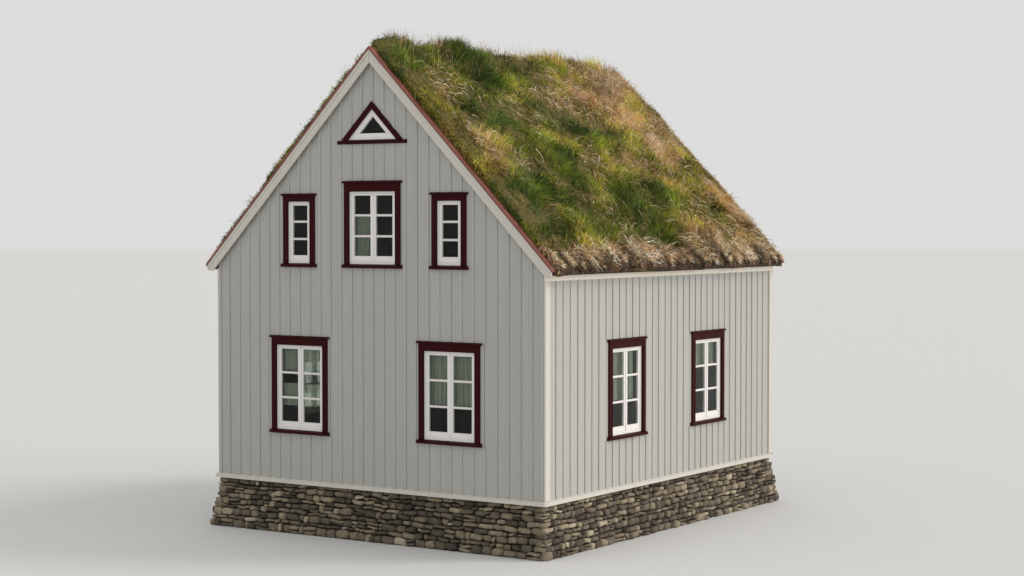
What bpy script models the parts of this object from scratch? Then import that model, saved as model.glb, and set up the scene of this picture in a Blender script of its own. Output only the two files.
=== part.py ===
"""A small timber house of one and a half storeys, with a turf roof and a dry stone foundation.

Metres, +Z up. X runs across the house and Y along its ridge, and the gable with six windows
faces -Y. The origin is on the ground, under the middle of the house. Walls, floors and roof
are set out from the top of the foundation, and each wall from its own outer face.
"""

import math

import bmesh
import bpy
from mathutils import Vector, noise
from mathutils.geometry import interpolate_bezier

for leftover in list(bpy.data.objects):
    bpy.data.objects.remove(leftover, do_unlink=True)

# Room that two neighbouring pieces keep between their meshes
CLEARANCE = 0.0003

# The house over its cladding
HOUSE_WIDTH = 5.60
HOUSE_LENGTH = 6.68
WALL_THICKNESS = 0.16
EAVES_LEVEL = 3.191

# Dry stone foundation, a ring that leans outward towards the ground
FOUNDATION_HEIGHT = 0.70
FOUNDATION_THICKNESS = 0.45
FOUNDATION_BATTER = 0.12

# Floors
GROUND_FLOOR_THICKNESS = 0.12
LOFT_FLOOR_LEVEL = 2.55
LOFT_FLOOR_THICKNESS = 0.15

# Roof deck, with rise over run as its slope
ROOF_SLOPE = 1.014
DECK_THICKNESS = 0.045
EAVES_OVERHANG = 0.16
VERGE_OVERHANG = 0.05

# Barge boards on the deck's ends, and the boards that cap them
BARGE_HEIGHT = 0.125
BARGE_THICKNESS = 0.030
BARGE_TIP_WIDTH = 0.10
CAP_WIDTH = 0.12
CAP_THICKNESS = 0.030
CAP_LIP = 0.015
CAP_END_OVERHANG = 0.020

# Turf on the deck, with its soft edges
TURF_THICKNESS = 0.155
TURF_REAR_SHARE = 0.78
TURF_EAVES_SHARE = 0.62
TURF_RIDGE_ROUNDING = 0.06
TURF_BULGE = 0.07
TURF_DROP = 0.05
TURF_SHOULDER = 0.22
TURF_EDGE_SHARE = 0.80
TURF_UNEVENNESS = 0.060
TURF_LUMP_SPACING = 0.65
TURF_TUFT_SPACING = 0.35
TURF_STATIONS = 30
TURF_TOP_POINTS = 14
TURF_EDGE_POINTS = 7

# Flat boards on the side walls and round the foot of the cladding
TRIM_THICKNESS = 0.030
CORNER_BOARD_WIDTH = 0.11
EAVES_BOARD_WIDTH = 0.10
EAVES_BOARD_DROP = 0.14
BASE_BOARD_HEIGHT = 0.065
BASE_BOARD_DEPTH = 0.050
BASE_BOARD_FALL = 0.015

# Window casings: boards nailed over the cladding round each window
CASING_THICKNESS = 0.030
CASING_SIDE_WIDTH = 0.081
CASING_SILL_HEIGHT = 0.055
CASING_SILL_DEPTH = 0.065
CASING_CAP_HEIGHT = 0.035
CASING_CAP_DEPTH = 0.055
CASING_EAR = 0.045

# Window frames set in the walls
FRAME_DEPTH = 0.060
STILE_WIDTH = 0.085
TOP_RAIL_HEIGHT = 0.060
BOTTOM_RAIL_HEIGHT = 0.108
MEETING_STILE_WIDTH = 0.093
GLASS_THICKNESS = 0.006
GLASS_LAP = 0.030

# Ground floor windows, measured over their casings
GROUND_WINDOW_WIDTH = 1.01
GROUND_WINDOW_HEIGHT = 1.397
GROUND_WINDOW_SILL = 0.715
GROUND_WINDOW_HEAD = 0.135
GABLE_WINDOW_OFFSET = 1.296
SIDE_WINDOW_OFFSET = 1.20

# Loft windows of the gables
LOFT_WINDOW_SILL = 3.084
CENTRE_WINDOW_WIDTH = 0.97
CENTRE_WINDOW_HEIGHT = 1.211
CENTRE_WINDOW_HEAD = 0.149
NARROW_WINDOW_WIDTH = 0.568
NARROW_WINDOW_HEAD = 0.115
NARROW_WINDOW_ROOF_DISTANCE = 0.301

# Three-cornered attic window, with its slopes parallel to the roof
ATTIC_WINDOW_HALF_WIDTH = 0.579
ATTIC_WINDOW_RISE = 0.505
ATTIC_CASING_WIDTH = 0.057
ATTIC_CASING_EAR = 0.030
ATTIC_FRAME_WIDTH = 0.105
GABLE_GLASS_ROOF_DISTANCE = 0.15

# Back door
DOOR_LEAF_WIDTH = 0.85
DOOR_LEAF_THICKNESS = 0.045
DOOR_STILE_WIDTH = 0.115
DOOR_RAIL_HEIGHT = 0.16
DOOR_PANEL_RECESS = 0.012
DOOR_LOWER_PANEL_TOP = 0.98

# What follows from those sizes
HALF_WIDTH = HOUSE_WIDTH / 2
HALF_LENGTH = HOUSE_LENGTH / 2
SLOPE_LENGTHENING = math.hypot(1.0, ROOF_SLOPE)
RIDGE_LEVEL = EAVES_LEVEL + ROOF_SLOPE * HALF_WIDTH
EAVES_EDGE = HALF_WIDTH + EAVES_OVERHANG
DECK_END = HALF_LENGTH + VERGE_OVERHANG
DECK_RISE = DECK_THICKNESS * SLOPE_LENGTHENING
SLOPE_CLEARANCE = CLEARANCE * SLOPE_LENGTHENING
CAP_FRONT = DECK_END + CLEARANCE + BARGE_THICKNESS + CAP_LIP
TURF_END = CAP_FRONT - CAP_WIDTH - CLEARANCE


def roof_line(across, above=0.0):
    """Height of the deck's underside at a distance from the ridge line, or of a line above it."""
    return RIDGE_LEVEL + above - ROOF_SLOPE * abs(across)


def linear(channel):
    """One channel of a screen colour, 0 to 255, as linear light."""
    share = channel / 255
    if share <= 0.04045:
        return share / 12.92
    return ((share + 0.055) / 1.055) ** 2.4


def finish(name, red, green, blue, roughness):
    """A plain material of one screen colour."""
    material = bpy.data.materials.new(name)
    material.use_nodes = True
    shader = material.node_tree.nodes["Principled BSDF"]
    shader.inputs["Base Color"].default_value = (linear(red), linear(green), linear(blue), 1.0)
    shader.inputs["Roughness"].default_value = roughness
    shader.inputs["Metallic"].default_value = 0.0
    return material


GREY_PAINT = finish("grey_cladding_paint", 196, 192, 184, 0.70)
WHITE_PAINT = finish("white_trim_paint", 226, 226, 222, 0.50)
DARK_RED_PAINT = finish("dark_red_casing_paint", 74, 22, 26, 0.45)
RED_PAINT = finish("red_verge_paint", 150, 62, 56, 0.60)
RUBBLE = finish("rubble_stone", 118, 108, 98, 0.90)
FLOOR_BOARDS = finish("floor_boards", 150, 120, 88, 0.70)
ROOF_BOARDS = finish("roof_boards", 120, 98, 76, 0.80)
TURF = finish("turf", 96, 112, 52, 0.95)
WINDOW_GLASS = finish("window_glass", 60, 66, 68, 0.05)


def place(name, mesh, material, parent):
    """Closes a bmesh into a named object of one material on its parent."""
    bmesh.ops.recalc_face_normals(mesh, faces=mesh.faces)
    data = bpy.data.meshes.new(name)
    mesh.to_mesh(data)
    mesh.free()
    data.materials.append(material)
    piece = bpy.data.objects.new(name, data)
    bpy.context.scene.collection.objects.link(piece)
    piece.parent = parent
    return piece


def datum(name, location, quarter_turns=0, parent=None):
    """An empty that pieces are set out from."""
    empty = bpy.data.objects.new(name, None)
    empty.location = location
    empty.rotation_euler = (0.0, 0.0, quarter_turns * math.pi / 2)
    empty.parent = parent
    bpy.context.scene.collection.objects.link(empty)
    return empty


def panel(outline, holes, front, back):
    """A flat panel in the XZ plane from its outline and holes, thick from front to back in Y."""
    mesh = bmesh.new()
    for ring in [outline] + holes:
        corners = [mesh.verts.new((x, front, z)) for x, z in ring]
        for start, end in zip(corners, corners[1:] + corners[:1]):
            mesh.edges.new((start, end))
    bmesh.ops.triangle_fill(mesh, use_beauty=True, edges=mesh.edges[:])
    grown = bmesh.ops.extrude_face_region(mesh, geom=mesh.faces[:])
    for item in grown["geom"]:
        if isinstance(item, bmesh.types.BMVert):
            item.co.y = back
    return mesh


def rectangle(left, right, bottom, top):
    """Corners of an upright rectangle."""
    return [(left, bottom), (right, bottom), (right, top), (left, top)]


def stepped_solid(lines_x, lines_z, front_of, back):
    """A solid on a grid of cells. front_of(column, row) gives a cell's front face, or None if open."""
    mesh = bmesh.new()
    columns = range(len(lines_x) - 1)
    rows = range(len(lines_z) - 1)
    fronts = {(column, row): front_of(column, row) for column in columns for row in rows}
    levels = {}
    corners = {}
    for (column, row), front in fronts.items():
        if front is not None:
            for node in ((column, row), (column + 1, row), (column, row + 1), (column + 1, row + 1)):
                levels.setdefault(node, {back}).add(front)

    def corner(node, depth):
        key = (node, depth)
        if key not in corners:
            corners[key] = mesh.verts.new((lines_x[node[0]], depth, lines_z[node[1]]))
        return corners[key]

    def side(start, end, near, far):
        going = [corner(start, level) for level in sorted(levels[start]) if near <= level <= far]
        coming = [corner(end, level) for level in sorted(levels[end]) if near <= level <= far]
        mesh.faces.new(going + coming[::-1])

    for (column, row), front in fronts.items():
        if front is None:
            continue
        ring = [(column, row), (column + 1, row), (column + 1, row + 1), (column, row + 1)]
        mesh.faces.new([corner(node, front) for node in ring])
        mesh.faces.new([corner(node, back) for node in ring[::-1]])
        neighbours = [(column, row - 1), (column + 1, row), (column, row + 1), (column - 1, row)]
        for start, end, beside in zip(ring, ring[1:] + ring[:1], neighbours):
            beside_front = fronts.get(beside)
            if beside_front is None:
                side(start, end, front, back)
            elif beside_front > front:
                side(start, end, front, beside_front)
    return mesh


def upright_ring(outer_x, outer_y, inner_x, inner_y, bottom, top, spread_top=0.0, spread_bottom=0.0):
    """A rectangular ring, whose outer face may stand further out at its top or its bottom."""
    mesh = bmesh.new()
    loops = []
    for half_x, half_y, height in (
        (outer_x + spread_bottom, outer_y + spread_bottom, bottom),
        (outer_x + spread_top, outer_y + spread_top, top),
        (inner_x, inner_y, top),
        (inner_x, inner_y, bottom),
    ):
        signs = ((-1, -1), (1, -1), (1, 1), (-1, 1))
        loops.append([mesh.verts.new((sx * half_x, sy * half_y, height)) for sx, sy in signs])
    for lower, upper in zip(loops, loops[1:] + loops[:1]):
        for index in range(4):
            following = (index + 1) % 4
            mesh.faces.new((lower[index], lower[following], upper[following], upper[index]))
    return mesh


# Datum points: the top of the foundation, and the outer face of each wall
house = datum("house_datum", (0.0, 0.0, FOUNDATION_HEIGHT))
front_face = datum("front_face", (0.0, -HALF_LENGTH, 0.0), 0, house)
right_face = datum("right_face", (HALF_WIDTH, 0.0, 0.0), 1, house)
rear_face = datum("rear_face", (0.0, HALF_LENGTH, 0.0), 2, house)
left_face = datum("left_face", (-HALF_WIDTH, 0.0, 0.0), 3, house)


class Window:
    """One window or door, set out over its casing in its wall's own frame."""

    def __init__(self, name, centre, sill, width, height, head, lights):
        self.name = name
        self.centre = centre
        self.sill = sill
        self.width = width
        self.top = sill + height
        self.head = head
        self.lights = lights
        self.hole_left = centre - width / 2 + CASING_SIDE_WIDTH
        self.hole_right = centre + width / 2 - CASING_SIDE_WIDTH
        self.hole_bottom = sill + CASING_SILL_HEIGHT
        self.hole_top = self.top - head

    def hole(self):
        """Outline of the hole through the wall."""
        return rectangle(self.hole_left, self.hole_right, self.hole_bottom, self.hole_top)


def ground_window(name, centre):
    """A two-light window of the ground floor."""
    return Window(
        name, centre, GROUND_WINDOW_SILL, GROUND_WINDOW_WIDTH, GROUND_WINDOW_HEIGHT,
        GROUND_WINDOW_HEAD, 2,
    )


def loft_windows(wall):
    """The two-light window in the middle of a gable's loft and the narrow one on each side of it."""
    narrow_corner = GABLE_WINDOW_OFFSET + NARROW_WINDOW_WIDTH / 2
    narrow_height = roof_line(narrow_corner) - NARROW_WINDOW_ROOF_DISTANCE - LOFT_WINDOW_SILL
    windows = [
        Window(
            wall + "_loft_centre", 0.0, LOFT_WINDOW_SILL, CENTRE_WINDOW_WIDTH,
            CENTRE_WINDOW_HEIGHT, CENTRE_WINDOW_HEAD, 2,
        )
    ]
    for side, offset in (("left", -GABLE_WINDOW_OFFSET), ("right", GABLE_WINDOW_OFFSET)):
        windows.append(Window(
            wall + "_loft_" + side, offset, LOFT_WINDOW_SILL, NARROW_WINDOW_WIDTH,
            narrow_height, NARROW_WINDOW_HEAD, 1,
        ))
    return windows


def attic_triangle(inset):
    """The attic window's outline, drawn in by the same width on its three sides."""
    base = LOFT_WINDOW_SILL + CENTRE_WINDOW_HEIGHT + ATTIC_WINDOW_RISE
    apex = base + ATTIC_WINDOW_HALF_WIDTH * ROOF_SLOPE - inset * SLOPE_LENGTHENING
    half = (apex - base - inset) / ROOF_SLOPE
    return [(-half, base + inset), (half, base + inset), (0.0, apex)]


def attic_casing_outline():
    """The attic window's casing: two sloping boards on a sill board that stands out past them."""
    left, right, apex = attic_triangle(0.0)
    sill_top = left[1] + ATTIC_CASING_WIDTH
    foot = right[0] - ATTIC_CASING_WIDTH / ROOF_SLOPE
    end = right[0] + ATTIC_CASING_EAR
    return [
        (-end, left[1]), (end, right[1]), (end, sill_top), (foot, sill_top), apex,
        (-foot, sill_top), (-end, sill_top),
    ]


front_ground = [
    ground_window("front_ground_left", -GABLE_WINDOW_OFFSET),
    ground_window("front_ground_right", GABLE_WINDOW_OFFSET),
]
rear_ground = [ground_window("rear_ground", GABLE_WINDOW_OFFSET)]
right_ground = [
    ground_window("right_front", -SIDE_WINDOW_OFFSET),
    ground_window("right_rear", SIDE_WINDOW_OFFSET),
]
left_ground = [
    ground_window("left_rear", -SIDE_WINDOW_OFFSET),
    ground_window("left_front", SIDE_WINDOW_OFFSET),
]
front_loft = loft_windows("front")
rear_loft = loft_windows("rear")

# The back door's head lines up with the window heads, and its threshold with the floor
DOOR_SILL = GROUND_FLOOR_THICKNESS - CASING_SILL_HEIGHT
DOOR_CASING_HEIGHT = GROUND_WINDOW_SILL + GROUND_WINDOW_HEIGHT - DOOR_SILL
back_door = Window(
    "rear_door", -GABLE_WINDOW_OFFSET, DOOR_SILL, DOOR_LEAF_WIDTH + 2 * CASING_SIDE_WIDTH,
    DOOR_CASING_HEIGHT, GROUND_WINDOW_HEAD, 0,
)

# Foundation and floors
foundation = upright_ring(
    HALF_WIDTH, HALF_LENGTH, HALF_WIDTH - FOUNDATION_THICKNESS, HALF_LENGTH - FOUNDATION_THICKNESS,
    -FOUNDATION_HEIGHT, 0.0, spread_bottom=FOUNDATION_BATTER,
)
place("stone_foundation", foundation, RUBBLE, house)

room_half_width = HALF_WIDTH - WALL_THICKNESS - CLEARANCE
room_half_length = HALF_LENGTH - WALL_THICKNESS - CLEARANCE


def floor(name, bottom, top):
    """A floor that fills the house between its walls."""
    outline = rectangle(-room_half_width, room_half_width, bottom, top)
    place(name, panel(outline, [], -room_half_length, room_half_length), FLOOR_BOARDS, house)


floor("ground_floor", CLEARANCE, GROUND_FLOOR_THICKNESS)
floor("loft_floor", LOFT_FLOOR_LEVEL - LOFT_FLOOR_THICKNESS, LOFT_FLOOR_LEVEL)


def gable_wall(name, face, windows):
    """A gable wall as wide as the house, cut to the roof's slope, with its window holes."""
    outline = [
        (-HALF_WIDTH, CLEARANCE),
        (HALF_WIDTH, CLEARANCE),
        (HALF_WIDTH, roof_line(HALF_WIDTH, -SLOPE_CLEARANCE)),
        (0.0, roof_line(0.0, -SLOPE_CLEARANCE)),
        (-HALF_WIDTH, roof_line(HALF_WIDTH, -SLOPE_CLEARANCE)),
    ]
    holes = [window.hole() for window in windows] + [attic_triangle(ATTIC_CASING_WIDTH)]
    place(name, panel(outline, holes, 0.0, WALL_THICKNESS), GREY_PAINT, face)


def side_wall(name, face, windows):
    """A side wall between the gable walls, with its top cut to the roof's slope."""
    reach = HALF_LENGTH - WALL_THICKNESS - CLEARANCE
    top = roof_line(HALF_WIDTH, -SLOPE_CLEARANCE)
    outline = rectangle(-reach, reach, CLEARANCE, top)
    mesh = panel(outline, [window.hole() for window in windows], 0.0, WALL_THICKNESS)
    for corner in mesh.verts:
        if corner.co.z > top - CLEARANCE:
            corner.co.z += ROOF_SLOPE * corner.co.y
    place(name, mesh, GREY_PAINT, face)


gable_wall("front_wall", front_face, front_ground + front_loft)
gable_wall("rear_wall", rear_face, rear_ground + rear_loft + [back_door])
side_wall("left_wall", left_face, left_ground)
side_wall("right_wall", right_face, right_ground)


def casing(window, face):
    """Casing boards with a sill and a head cap that stand past them on both sides."""
    left = window.centre - window.width / 2
    right = window.centre + window.width / 2
    lines_x = [left - CASING_EAR, left, window.hole_left, window.hole_right, right, right + CASING_EAR]
    lines_z = [
        window.sill, window.hole_bottom, window.hole_top, window.top - CASING_CAP_HEIGHT, window.top,
    ]

    def front_of(column, row):
        if row == 0:
            return -CASING_SILL_DEPTH
        if row == 3:
            return -CASING_CAP_DEPTH
        if column in (0, 4) or (row == 1 and column == 2):
            return None
        return -CASING_THICKNESS

    mesh = stepped_solid(lines_x, lines_z, front_of, -CLEARANCE)
    place(window.name + "_casing", mesh, DARK_RED_PAINT, face)


def window_frame(window, face):
    """White frame with one or two lights, set flush with the wall's outer face."""
    left = window.hole_left + CLEARANCE
    right = window.hole_right - CLEARANCE
    bottom = window.hole_bottom + CLEARANCE
    top = window.hole_top - CLEARANCE
    lines_x = [left, left + STILE_WIDTH, right - STILE_WIDTH, right]
    if window.lights == 2:
        half_stile = MEETING_STILE_WIDTH / 2
        lines_x[2:2] = [window.centre - half_stile, window.centre + half_stile]
    lines_z = [bottom, bottom + BOTTOM_RAIL_HEIGHT, top - TOP_RAIL_HEIGHT, top]

    def front_of(column, row):
        if row == 1 and column % 2 == 1:
            return None
        return 0.0

    mesh = stepped_solid(lines_x, lines_z, front_of, FRAME_DEPTH)
    place(window.name + "_frame", mesh, WHITE_PAINT, face)


for wall_face, windows in (
    (front_face, front_ground + front_loft),
    (rear_face, rear_ground + rear_loft),
    (left_face, left_ground),
    (right_face, right_ground),
):
    for window in windows:
        casing(window, wall_face)
        window_frame(window, wall_face)

for wall, wall_face in (("front", front_face), ("rear", rear_face)):
    attic_casing = panel(
        attic_casing_outline(), [attic_triangle(ATTIC_CASING_WIDTH)], -CASING_THICKNESS, -CLEARANCE,
    )
    place(wall + "_attic_casing", attic_casing, DARK_RED_PAINT, wall_face)
    attic_frame = panel(
        attic_triangle(ATTIC_CASING_WIDTH + CLEARANCE),
        [attic_triangle(ATTIC_CASING_WIDTH + ATTIC_FRAME_WIDTH)],
        0.0, FRAME_DEPTH,
    )
    place(wall + "_attic_frame", attic_frame, WHITE_PAINT, wall_face)


def glass_sheet(name, face, outline):
    """One sheet of glass against the inside of a wall, over the windows of a storey."""
    inside = WALL_THICKNESS + CLEARANCE
    place(name, panel(outline, [], inside, inside + GLASS_THICKNESS), WINDOW_GLASS, face)


def ground_glass(name, face, windows):
    """The sheet over a wall's ground floor windows."""
    glass_sheet(name, face, rectangle(
        min(window.hole_left for window in windows) - GLASS_LAP,
        max(window.hole_right for window in windows) + GLASS_LAP,
        windows[0].hole_bottom - GLASS_LAP,
        windows[0].hole_top + GLASS_LAP,
    ))


def loft_glass(name, face, windows):
    """The sheet over a gable's loft and attic windows, cut to the roof's slope."""
    reach = max(window.hole_right for window in windows) + GLASS_LAP
    bottom = windows[0].hole_bottom - GLASS_LAP
    glass_sheet(name, face, [
        (-reach, bottom),
        (reach, bottom),
        (reach, roof_line(reach, -GABLE_GLASS_ROOF_DISTANCE)),
        (0.0, roof_line(0.0, -GABLE_GLASS_ROOF_DISTANCE)),
        (-reach, roof_line(reach, -GABLE_GLASS_ROOF_DISTANCE)),
    ])


ground_glass("front_ground_glass", front_face, front_ground)
ground_glass("rear_ground_glass", rear_face, rear_ground)
ground_glass("left_glass", left_face, left_ground)
ground_glass("right_glass", right_face, right_ground)
loft_glass("front_loft_glass", front_face, front_loft)
loft_glass("rear_loft_glass", rear_face, rear_loft)


def door_leaf(door, face):
    """Panelled door leaf with two sunk panels, shut in its hole."""
    left = door.hole_left + CLEARANCE
    right = door.hole_right - CLEARANCE
    bottom = door.hole_bottom + CLEARANCE
    top = door.hole_top - CLEARANCE
    lines_x = [left, left + DOOR_STILE_WIDTH, right - DOOR_STILE_WIDTH, right]
    lines_z = [
        bottom, bottom + DOOR_RAIL_HEIGHT, DOOR_LOWER_PANEL_TOP,
        DOOR_LOWER_PANEL_TOP + DOOR_RAIL_HEIGHT, top - DOOR_RAIL_HEIGHT, top,
    ]

    def front_of(column, row):
        if column == 1 and row in (1, 3):
            return DOOR_PANEL_RECESS
        return 0.0

    mesh = stepped_solid(lines_x, lines_z, front_of, DOOR_LEAF_THICKNESS)
    place(door.name, mesh, DARK_RED_PAINT, face)


casing(back_door, rear_face)
door_leaf(back_door, rear_face)

# Base board round the foot of the cladding, with a top that sheds water
base_board = upright_ring(
    HALF_WIDTH + CLEARANCE + BASE_BOARD_DEPTH, HALF_LENGTH + CLEARANCE + BASE_BOARD_DEPTH,
    HALF_WIDTH + CLEARANCE, HALF_LENGTH + CLEARANCE, CLEARANCE, BASE_BOARD_HEIGHT,
)
for corner in base_board.verts:
    if corner.co.z > BASE_BOARD_HEIGHT / 2 and abs(corner.co.x) > HALF_WIDTH + BASE_BOARD_DEPTH / 2:
        corner.co.z -= BASE_BOARD_FALL
place("base_board", base_board, WHITE_PAINT, house)


def side_boards(name, face):
    """Corner boards of a side wall and the eaves board that they meet, as one frame of boards."""
    foot = BASE_BOARD_HEIGHT + CLEARANCE
    head = EAVES_LEVEL - EAVES_BOARD_DROP
    under = head - EAVES_BOARD_WIDTH
    inner = HALF_LENGTH - CORNER_BOARD_WIDTH
    outline = [
        (-HALF_LENGTH, foot), (-inner, foot), (-inner, under), (inner, under),
        (inner, foot), (HALF_LENGTH, foot), (HALF_LENGTH, head), (-HALF_LENGTH, head),
    ]
    place(name, panel(outline, [], -CLEARANCE - TRIM_THICKNESS, -CLEARANCE), WHITE_PAINT, face)


side_boards("left_side_boards", left_face)
side_boards("right_side_boards", right_face)


def deck_half(name, side):
    """One slope of the roof deck, square to the slope at the ridge and plumb at the eaves."""
    ridge = CLEARANCE / 2
    outline = [
        (side * ridge, roof_line(ridge)),
        (side * EAVES_EDGE, roof_line(EAVES_EDGE)),
        (side * EAVES_EDGE, roof_line(EAVES_EDGE, DECK_RISE)),
        (side * ridge, roof_line(ridge, DECK_RISE)),
    ]
    place(name, panel(outline, [], -DECK_END, DECK_END), ROOF_BOARDS, house)


deck_half("roof_deck_left", -1)
deck_half("roof_deck_right", 1)


def barge_boards(name, face):
    """Two barge boards that meet at the ridge, with their tips cut level."""
    under = DECK_RISE - BARGE_HEIGHT * SLOPE_LENGTHENING
    tip = EAVES_EDGE - BARGE_TIP_WIDTH
    outline = [
        (0.0, roof_line(0.0, under)),
        (tip, roof_line(tip, under)),
        (EAVES_EDGE, roof_line(tip, under)),
        (EAVES_EDGE, roof_line(EAVES_EDGE, DECK_RISE)),
        (0.0, roof_line(0.0, DECK_RISE)),
        (-EAVES_EDGE, roof_line(EAVES_EDGE, DECK_RISE)),
        (-EAVES_EDGE, roof_line(tip, under)),
        (-tip, roof_line(tip, under)),
    ]
    inner = -VERGE_OVERHANG - CLEARANCE
    place(name, panel(outline, [], inner - BARGE_THICKNESS, inner), WHITE_PAINT, face)


def verge_cap(name, face):
    """Boards that lie on the barge boards and the deck's edge along both slopes of a gable."""
    under = DECK_RISE + SLOPE_CLEARANCE
    over = under + CAP_THICKNESS * SLOPE_LENGTHENING
    end = EAVES_EDGE + CAP_END_OVERHANG
    outline = [
        (0.0, roof_line(0.0, under)), (end, roof_line(end, under)), (end, roof_line(end, over)),
        (0.0, roof_line(0.0, over)), (-end, roof_line(end, over)), (-end, roof_line(end, under)),
    ]
    front = HALF_LENGTH - CAP_FRONT
    place(name, panel(outline, [], front, front + CAP_WIDTH), RED_PAINT, face)


for wall, wall_face in (("front", front_face), ("rear", rear_face)):
    barge_boards(wall + "_barge_boards", wall_face)
    verge_cap(wall + "_verge_cap", wall_face)


def turf_section(along, side):
    """Outline of the turf on one slope at a place along the ridge: thinner at the rear and eaves."""
    from_end = min(TURF_END - abs(along), TURF_SHOULDER) / TURF_SHOULDER
    swell = TURF_EDGE_SHARE + (1.0 - TURF_EDGE_SHARE) * math.sqrt(1.0 - (1.0 - from_end) ** 2)
    thinned = 1.0 - (1.0 - TURF_REAR_SHARE) * (along + TURF_END) / (2 * TURF_END)
    thickness = TURF_THICKNESS * thinned * SLOPE_LENGTHENING * swell
    ridge = CLEARANCE / 2
    shoulder = EAVES_EDGE - TURF_BULGE / 2
    points = []
    for step in range(TURF_TOP_POINTS):
        share = step / (TURF_TOP_POINTS - 1)
        rise = DECK_RISE + thickness * (1.0 - (1.0 - TURF_EAVES_SHARE) * share ** 3)
        across = ridge + (shoulder - ridge) * share ** 1.3
        rounded = math.hypot(across, TURF_RIDGE_ROUNDING)
        spot = Vector((side * across, along, 0.0))
        bumps = noise.noise(spot / TURF_LUMP_SPACING) + 0.5 * noise.noise(spot / TURF_TUFT_SPACING)
        unevenness = TURF_UNEVENNESS * bumps * from_end * (1.0 - share ** 4)
        points.append(Vector((across, roof_line(rounded, rise) + unevenness, 0.0)))
    foot = roof_line(EAVES_EDGE, DECK_RISE) - TURF_DROP
    top_handle = Vector((EAVES_EDGE + TURF_BULGE / 2, roof_line(EAVES_EDGE, rise), 0.0))
    foot_handle = Vector((EAVES_EDGE + TURF_BULGE * 1.5, foot + TURF_BULGE, 0.0))
    foot_point = Vector((EAVES_EDGE + TURF_BULGE / 2, foot, 0.0))
    points += interpolate_bezier(points[-1], top_handle, foot_handle, foot_point, TURF_EDGE_POINTS)[1:]
    deck_edge = EAVES_EDGE + CLEARANCE
    over_deck = DECK_RISE + SLOPE_CLEARANCE
    points.append(Vector((deck_edge, foot, 0.0)))
    points.append(Vector((deck_edge, roof_line(deck_edge, over_deck), 0.0)))
    points.append(Vector((ridge, roof_line(ridge, over_deck), 0.0)))
    return [(side * point.x, along, point.y) for point in points]


def turf_half(name, side):
    """Turf on one slope, lofted through its sections from gable to gable."""
    places = []
    for step in range(TURF_STATIONS + 1):
        turn = math.pi * step / TURF_STATIONS
        places.append(-TURF_END * math.cos(turn) * (1.0 - 0.25 * math.sin(turn) ** 2))
    mesh = bmesh.new()
    loops = []
    for along in places:
        loops.append([mesh.verts.new(point) for point in turf_section(along, side)])
    for near, far in zip(loops, loops[1:]):
        for index in range(len(near)):
            following = (index + 1) % len(near)
            mesh.faces.new((near[index], near[following], far[following], far[index]))
    mesh.faces.new(loops[0])
    mesh.faces.new(loops[-1])
    bmesh.ops.triangulate(mesh, faces=mesh.faces[:])
    piece = place(name, mesh, TURF, house)
    piece.data.shade_smooth()
    piece.data.set_sharp_from_angle(angle=math.radians(40))


turf_half("turf_left", -1)
turf_half("turf_right", 1)

bpy.context.view_layer.update()
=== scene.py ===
import math

import bmesh
import bpy
import numpy as np
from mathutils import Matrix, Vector, noise


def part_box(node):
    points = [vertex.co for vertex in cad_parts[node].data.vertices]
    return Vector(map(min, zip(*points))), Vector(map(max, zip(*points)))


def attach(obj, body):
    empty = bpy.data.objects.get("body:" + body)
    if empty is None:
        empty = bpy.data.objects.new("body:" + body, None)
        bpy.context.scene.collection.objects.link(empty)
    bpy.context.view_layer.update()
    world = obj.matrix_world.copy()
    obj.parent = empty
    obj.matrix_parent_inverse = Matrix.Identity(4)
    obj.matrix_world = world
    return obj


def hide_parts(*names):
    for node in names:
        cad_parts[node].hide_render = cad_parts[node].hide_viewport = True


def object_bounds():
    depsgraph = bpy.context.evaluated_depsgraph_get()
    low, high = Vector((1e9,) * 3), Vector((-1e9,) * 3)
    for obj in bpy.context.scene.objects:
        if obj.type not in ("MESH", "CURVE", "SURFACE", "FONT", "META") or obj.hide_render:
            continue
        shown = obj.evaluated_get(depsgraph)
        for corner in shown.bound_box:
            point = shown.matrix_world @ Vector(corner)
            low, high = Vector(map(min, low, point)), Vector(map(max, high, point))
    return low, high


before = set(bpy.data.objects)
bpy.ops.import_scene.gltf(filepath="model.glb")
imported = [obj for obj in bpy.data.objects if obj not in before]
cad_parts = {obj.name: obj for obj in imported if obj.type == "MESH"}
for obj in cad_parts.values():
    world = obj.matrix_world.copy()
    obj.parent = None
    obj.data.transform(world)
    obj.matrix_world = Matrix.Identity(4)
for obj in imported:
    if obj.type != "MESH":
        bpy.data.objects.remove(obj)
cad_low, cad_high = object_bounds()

# Foundation
# A dry wall of split field stones, laid in rough courses with no mortar and leaning outward
# at the foot. Each stone is its own lump, wedged against a dark core of earth and small stones.
foundation_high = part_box("stone_foundation")[1]
HALF_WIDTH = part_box("right_wall")[1].x
HALF_LENGTH = -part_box("front_wall")[0].y
WALL_NAMES = ("front", "right", "rear", "left")
WALL_FACES = (HALF_LENGTH, HALF_WIDTH) * 2
HALF_RUNS = (HALF_WIDTH, HALF_LENGTH) * 2
FOUNDATION_TOP = foundation_high.z
FOUNDATION_SPREAD = foundation_high.x - HALF_WIDTH
FOUNDATION_RING = 0.45
CORE_INSET = 0.055
STONE_COURSES = (0.105, 0.070, 0.095, 0.065, 0.085, 0.070, 0.080, 0.060, 0.070)
COURSE_WANDER = 0.034
STONE_LENGTHS = (0.07, 0.25)
STONE_DEPTH = 0.16
STONE_JOINT = 0.023
STONE_SEGMENTS = 3
STONE_BALL = 0.62
STONE_ROUNDING = 0.38
STONE_WOBBLE = (0.024, 0.026, 0.020)
STONE_TILT = 0.10
STONE_PROUD = (-0.026, 0.012)
SPLIT_HEIGHT = 0.085
SPLIT_SHARE = 0.3


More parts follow.
